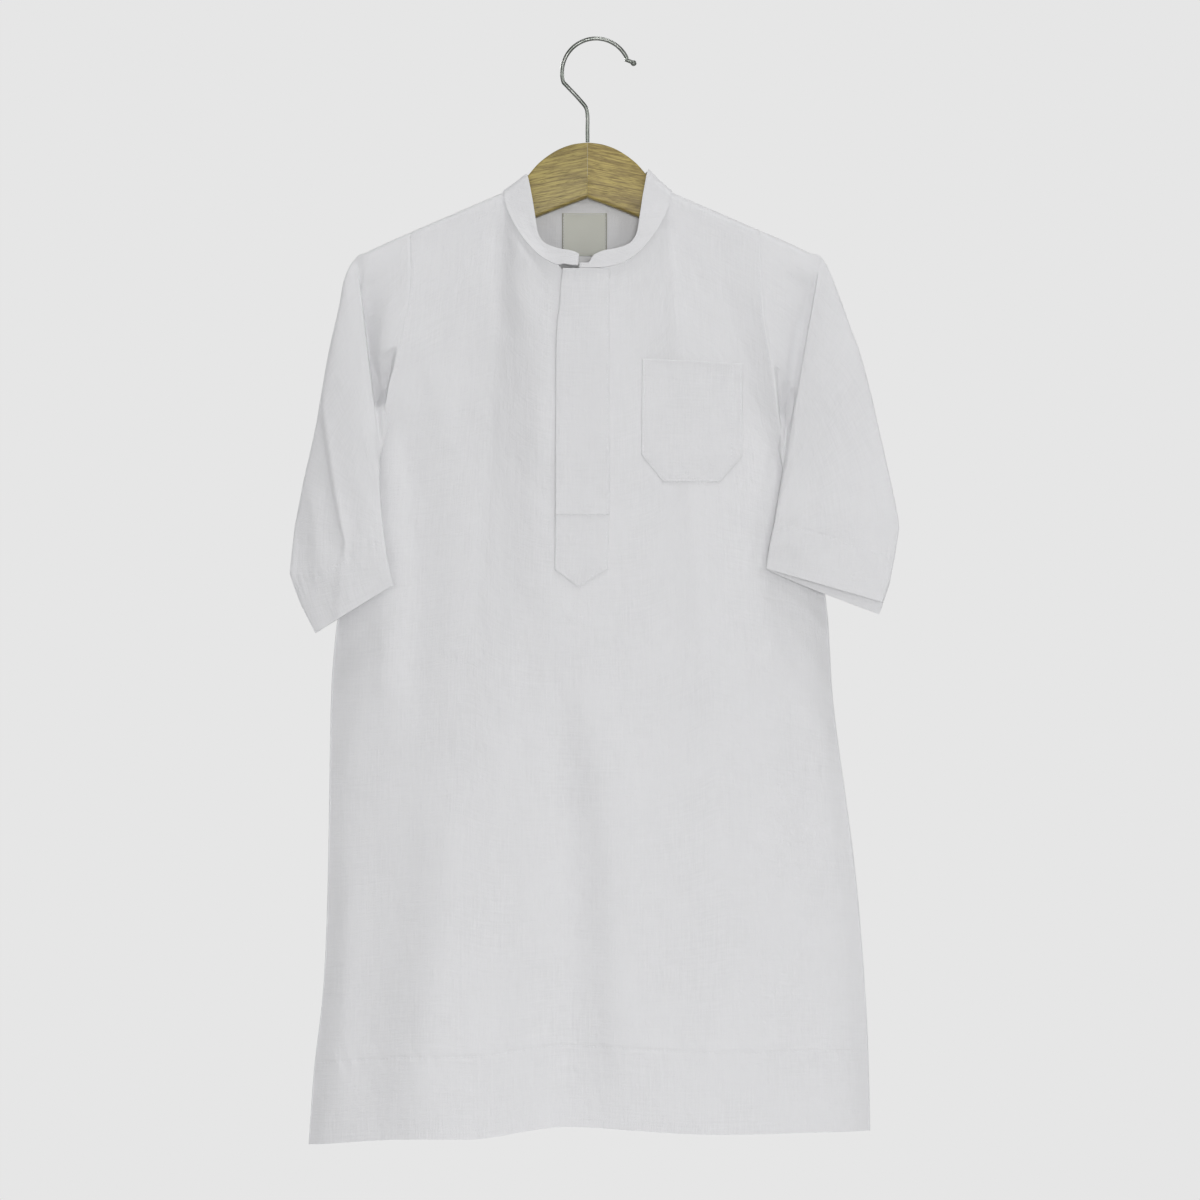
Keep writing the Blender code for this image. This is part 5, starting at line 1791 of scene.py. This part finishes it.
# %% Soft studio
scene = bpy.context.scene
scene.view_settings.view_transform = "Standard"
world = bpy.data.worlds.new("pale_studio")
world.use_nodes = True
scene.world = world
sky = Socket(world.node_tree)
seen = sky.node("LightPath")
way = sky.node("TexCoord")
up = way.parts()[2]
dome = up.within(-0.1, 0.95).mixed((0.27, 0.27, 0.272), (0.13, 0.13, 0.132))
fill = sky.node("Background", None, {"Color": dome, "Strength": 1.0})
ground = sky.node("Background", None, {"Color": (0.7913, 0.7913, 0.7913, 1.0), "Strength": 1.0})
both = sky.node("MixShader", None, {0: seen, 1: fill, 2: ground})
world.node_tree.links.new(both.link, world.node_tree.nodes["World Output"].inputs["Surface"])
MIDDLE = Vector((0.0, 0.0, -0.45))


def lamp(name, way, distance, size, power):
    """A square lamp in a direction from the garment's middle."""
    light = bpy.data.lights.new(name, "AREA")
    light.shape = "SQUARE"
    light.size = size
    light.energy = power
    thing = bpy.data.objects.new(name, light)
    thing.location = MIDDLE + Vector(way).normalized() * distance
    thing.rotation_euler = (MIDDLE - thing.location).to_track_quat("-Z", "Y").to_euler()
    scene.collection.objects.link(thing)


lamp("high_left", (-1.4, -1.0, 3.5), 5.0, 0.3, 15.0)
lamp("high_right", (1.1, -1.0, 3.3), 5.0, 0.3, 26.0)
lamp("overhead", (0.35, -0.55, 3.4), 5.0, 0.25, 44.0)
lamp("front_left", (-0.55, -1.0, 0.12), 4.5, 1.0, 14.0)
lamp("front_middle", (0.06, -1.0, 0.03), 4.5, 0.8, 69.0)
lamp("front_right", (0.6, -1.0, 0.2), 4.5, 1.0, 15.0)
lamp("side_left", (-1.6, -1.0, 0.3), 4.5, 0.8, 10.0)
lamp("side_right", (2.0, -1.0, 0.8), 4.5, 0.6, 21.0)
lamp("back_left", (-1.0, 1.0, 0.5), 4.5, 1.0, 60.0)
lamp("back_right", (1.0, 1.2, 0.6), 4.5, 1.0, 45.0)

FLOOR_SIDES, FLOOR_RADIUS, FLOOR_Z = 96, 1.2, -1.2
turns = [2 * math.pi * k / FLOOR_SIDES for k in range(FLOOR_SIDES)]
rim = [(FLOOR_RADIUS * math.cos(t), FLOOR_RADIUS * math.sin(t), FLOOR_Z) for t in turns]
floor_mesh = bpy.data.meshes.new("floor_disc")
floor_mesh.from_pydata(rim, [], [list(range(FLOOR_SIDES))])
floor = bpy.data.objects.new("floor_disc", floor_mesh)
scene.collection.objects.link(floor)
floor_mesh.materials.append(floor_white)

lens = bpy.data.cameras.new("long_lens")
lens.lens = 112.0
lens.sensor_width = 36.0
lens.clip_end = 50.0
camera = bpy.data.objects.new("long_lens", lens)
camera.location = (0.003, -2.8, -0.4196)
camera.rotation_euler = (math.radians(90), 0.0, 0.0)
scene.collection.objects.link(camera)
scene.camera = camera
print("the camera stands at", tuple(round(v, 3) for v in camera.location), "metres")
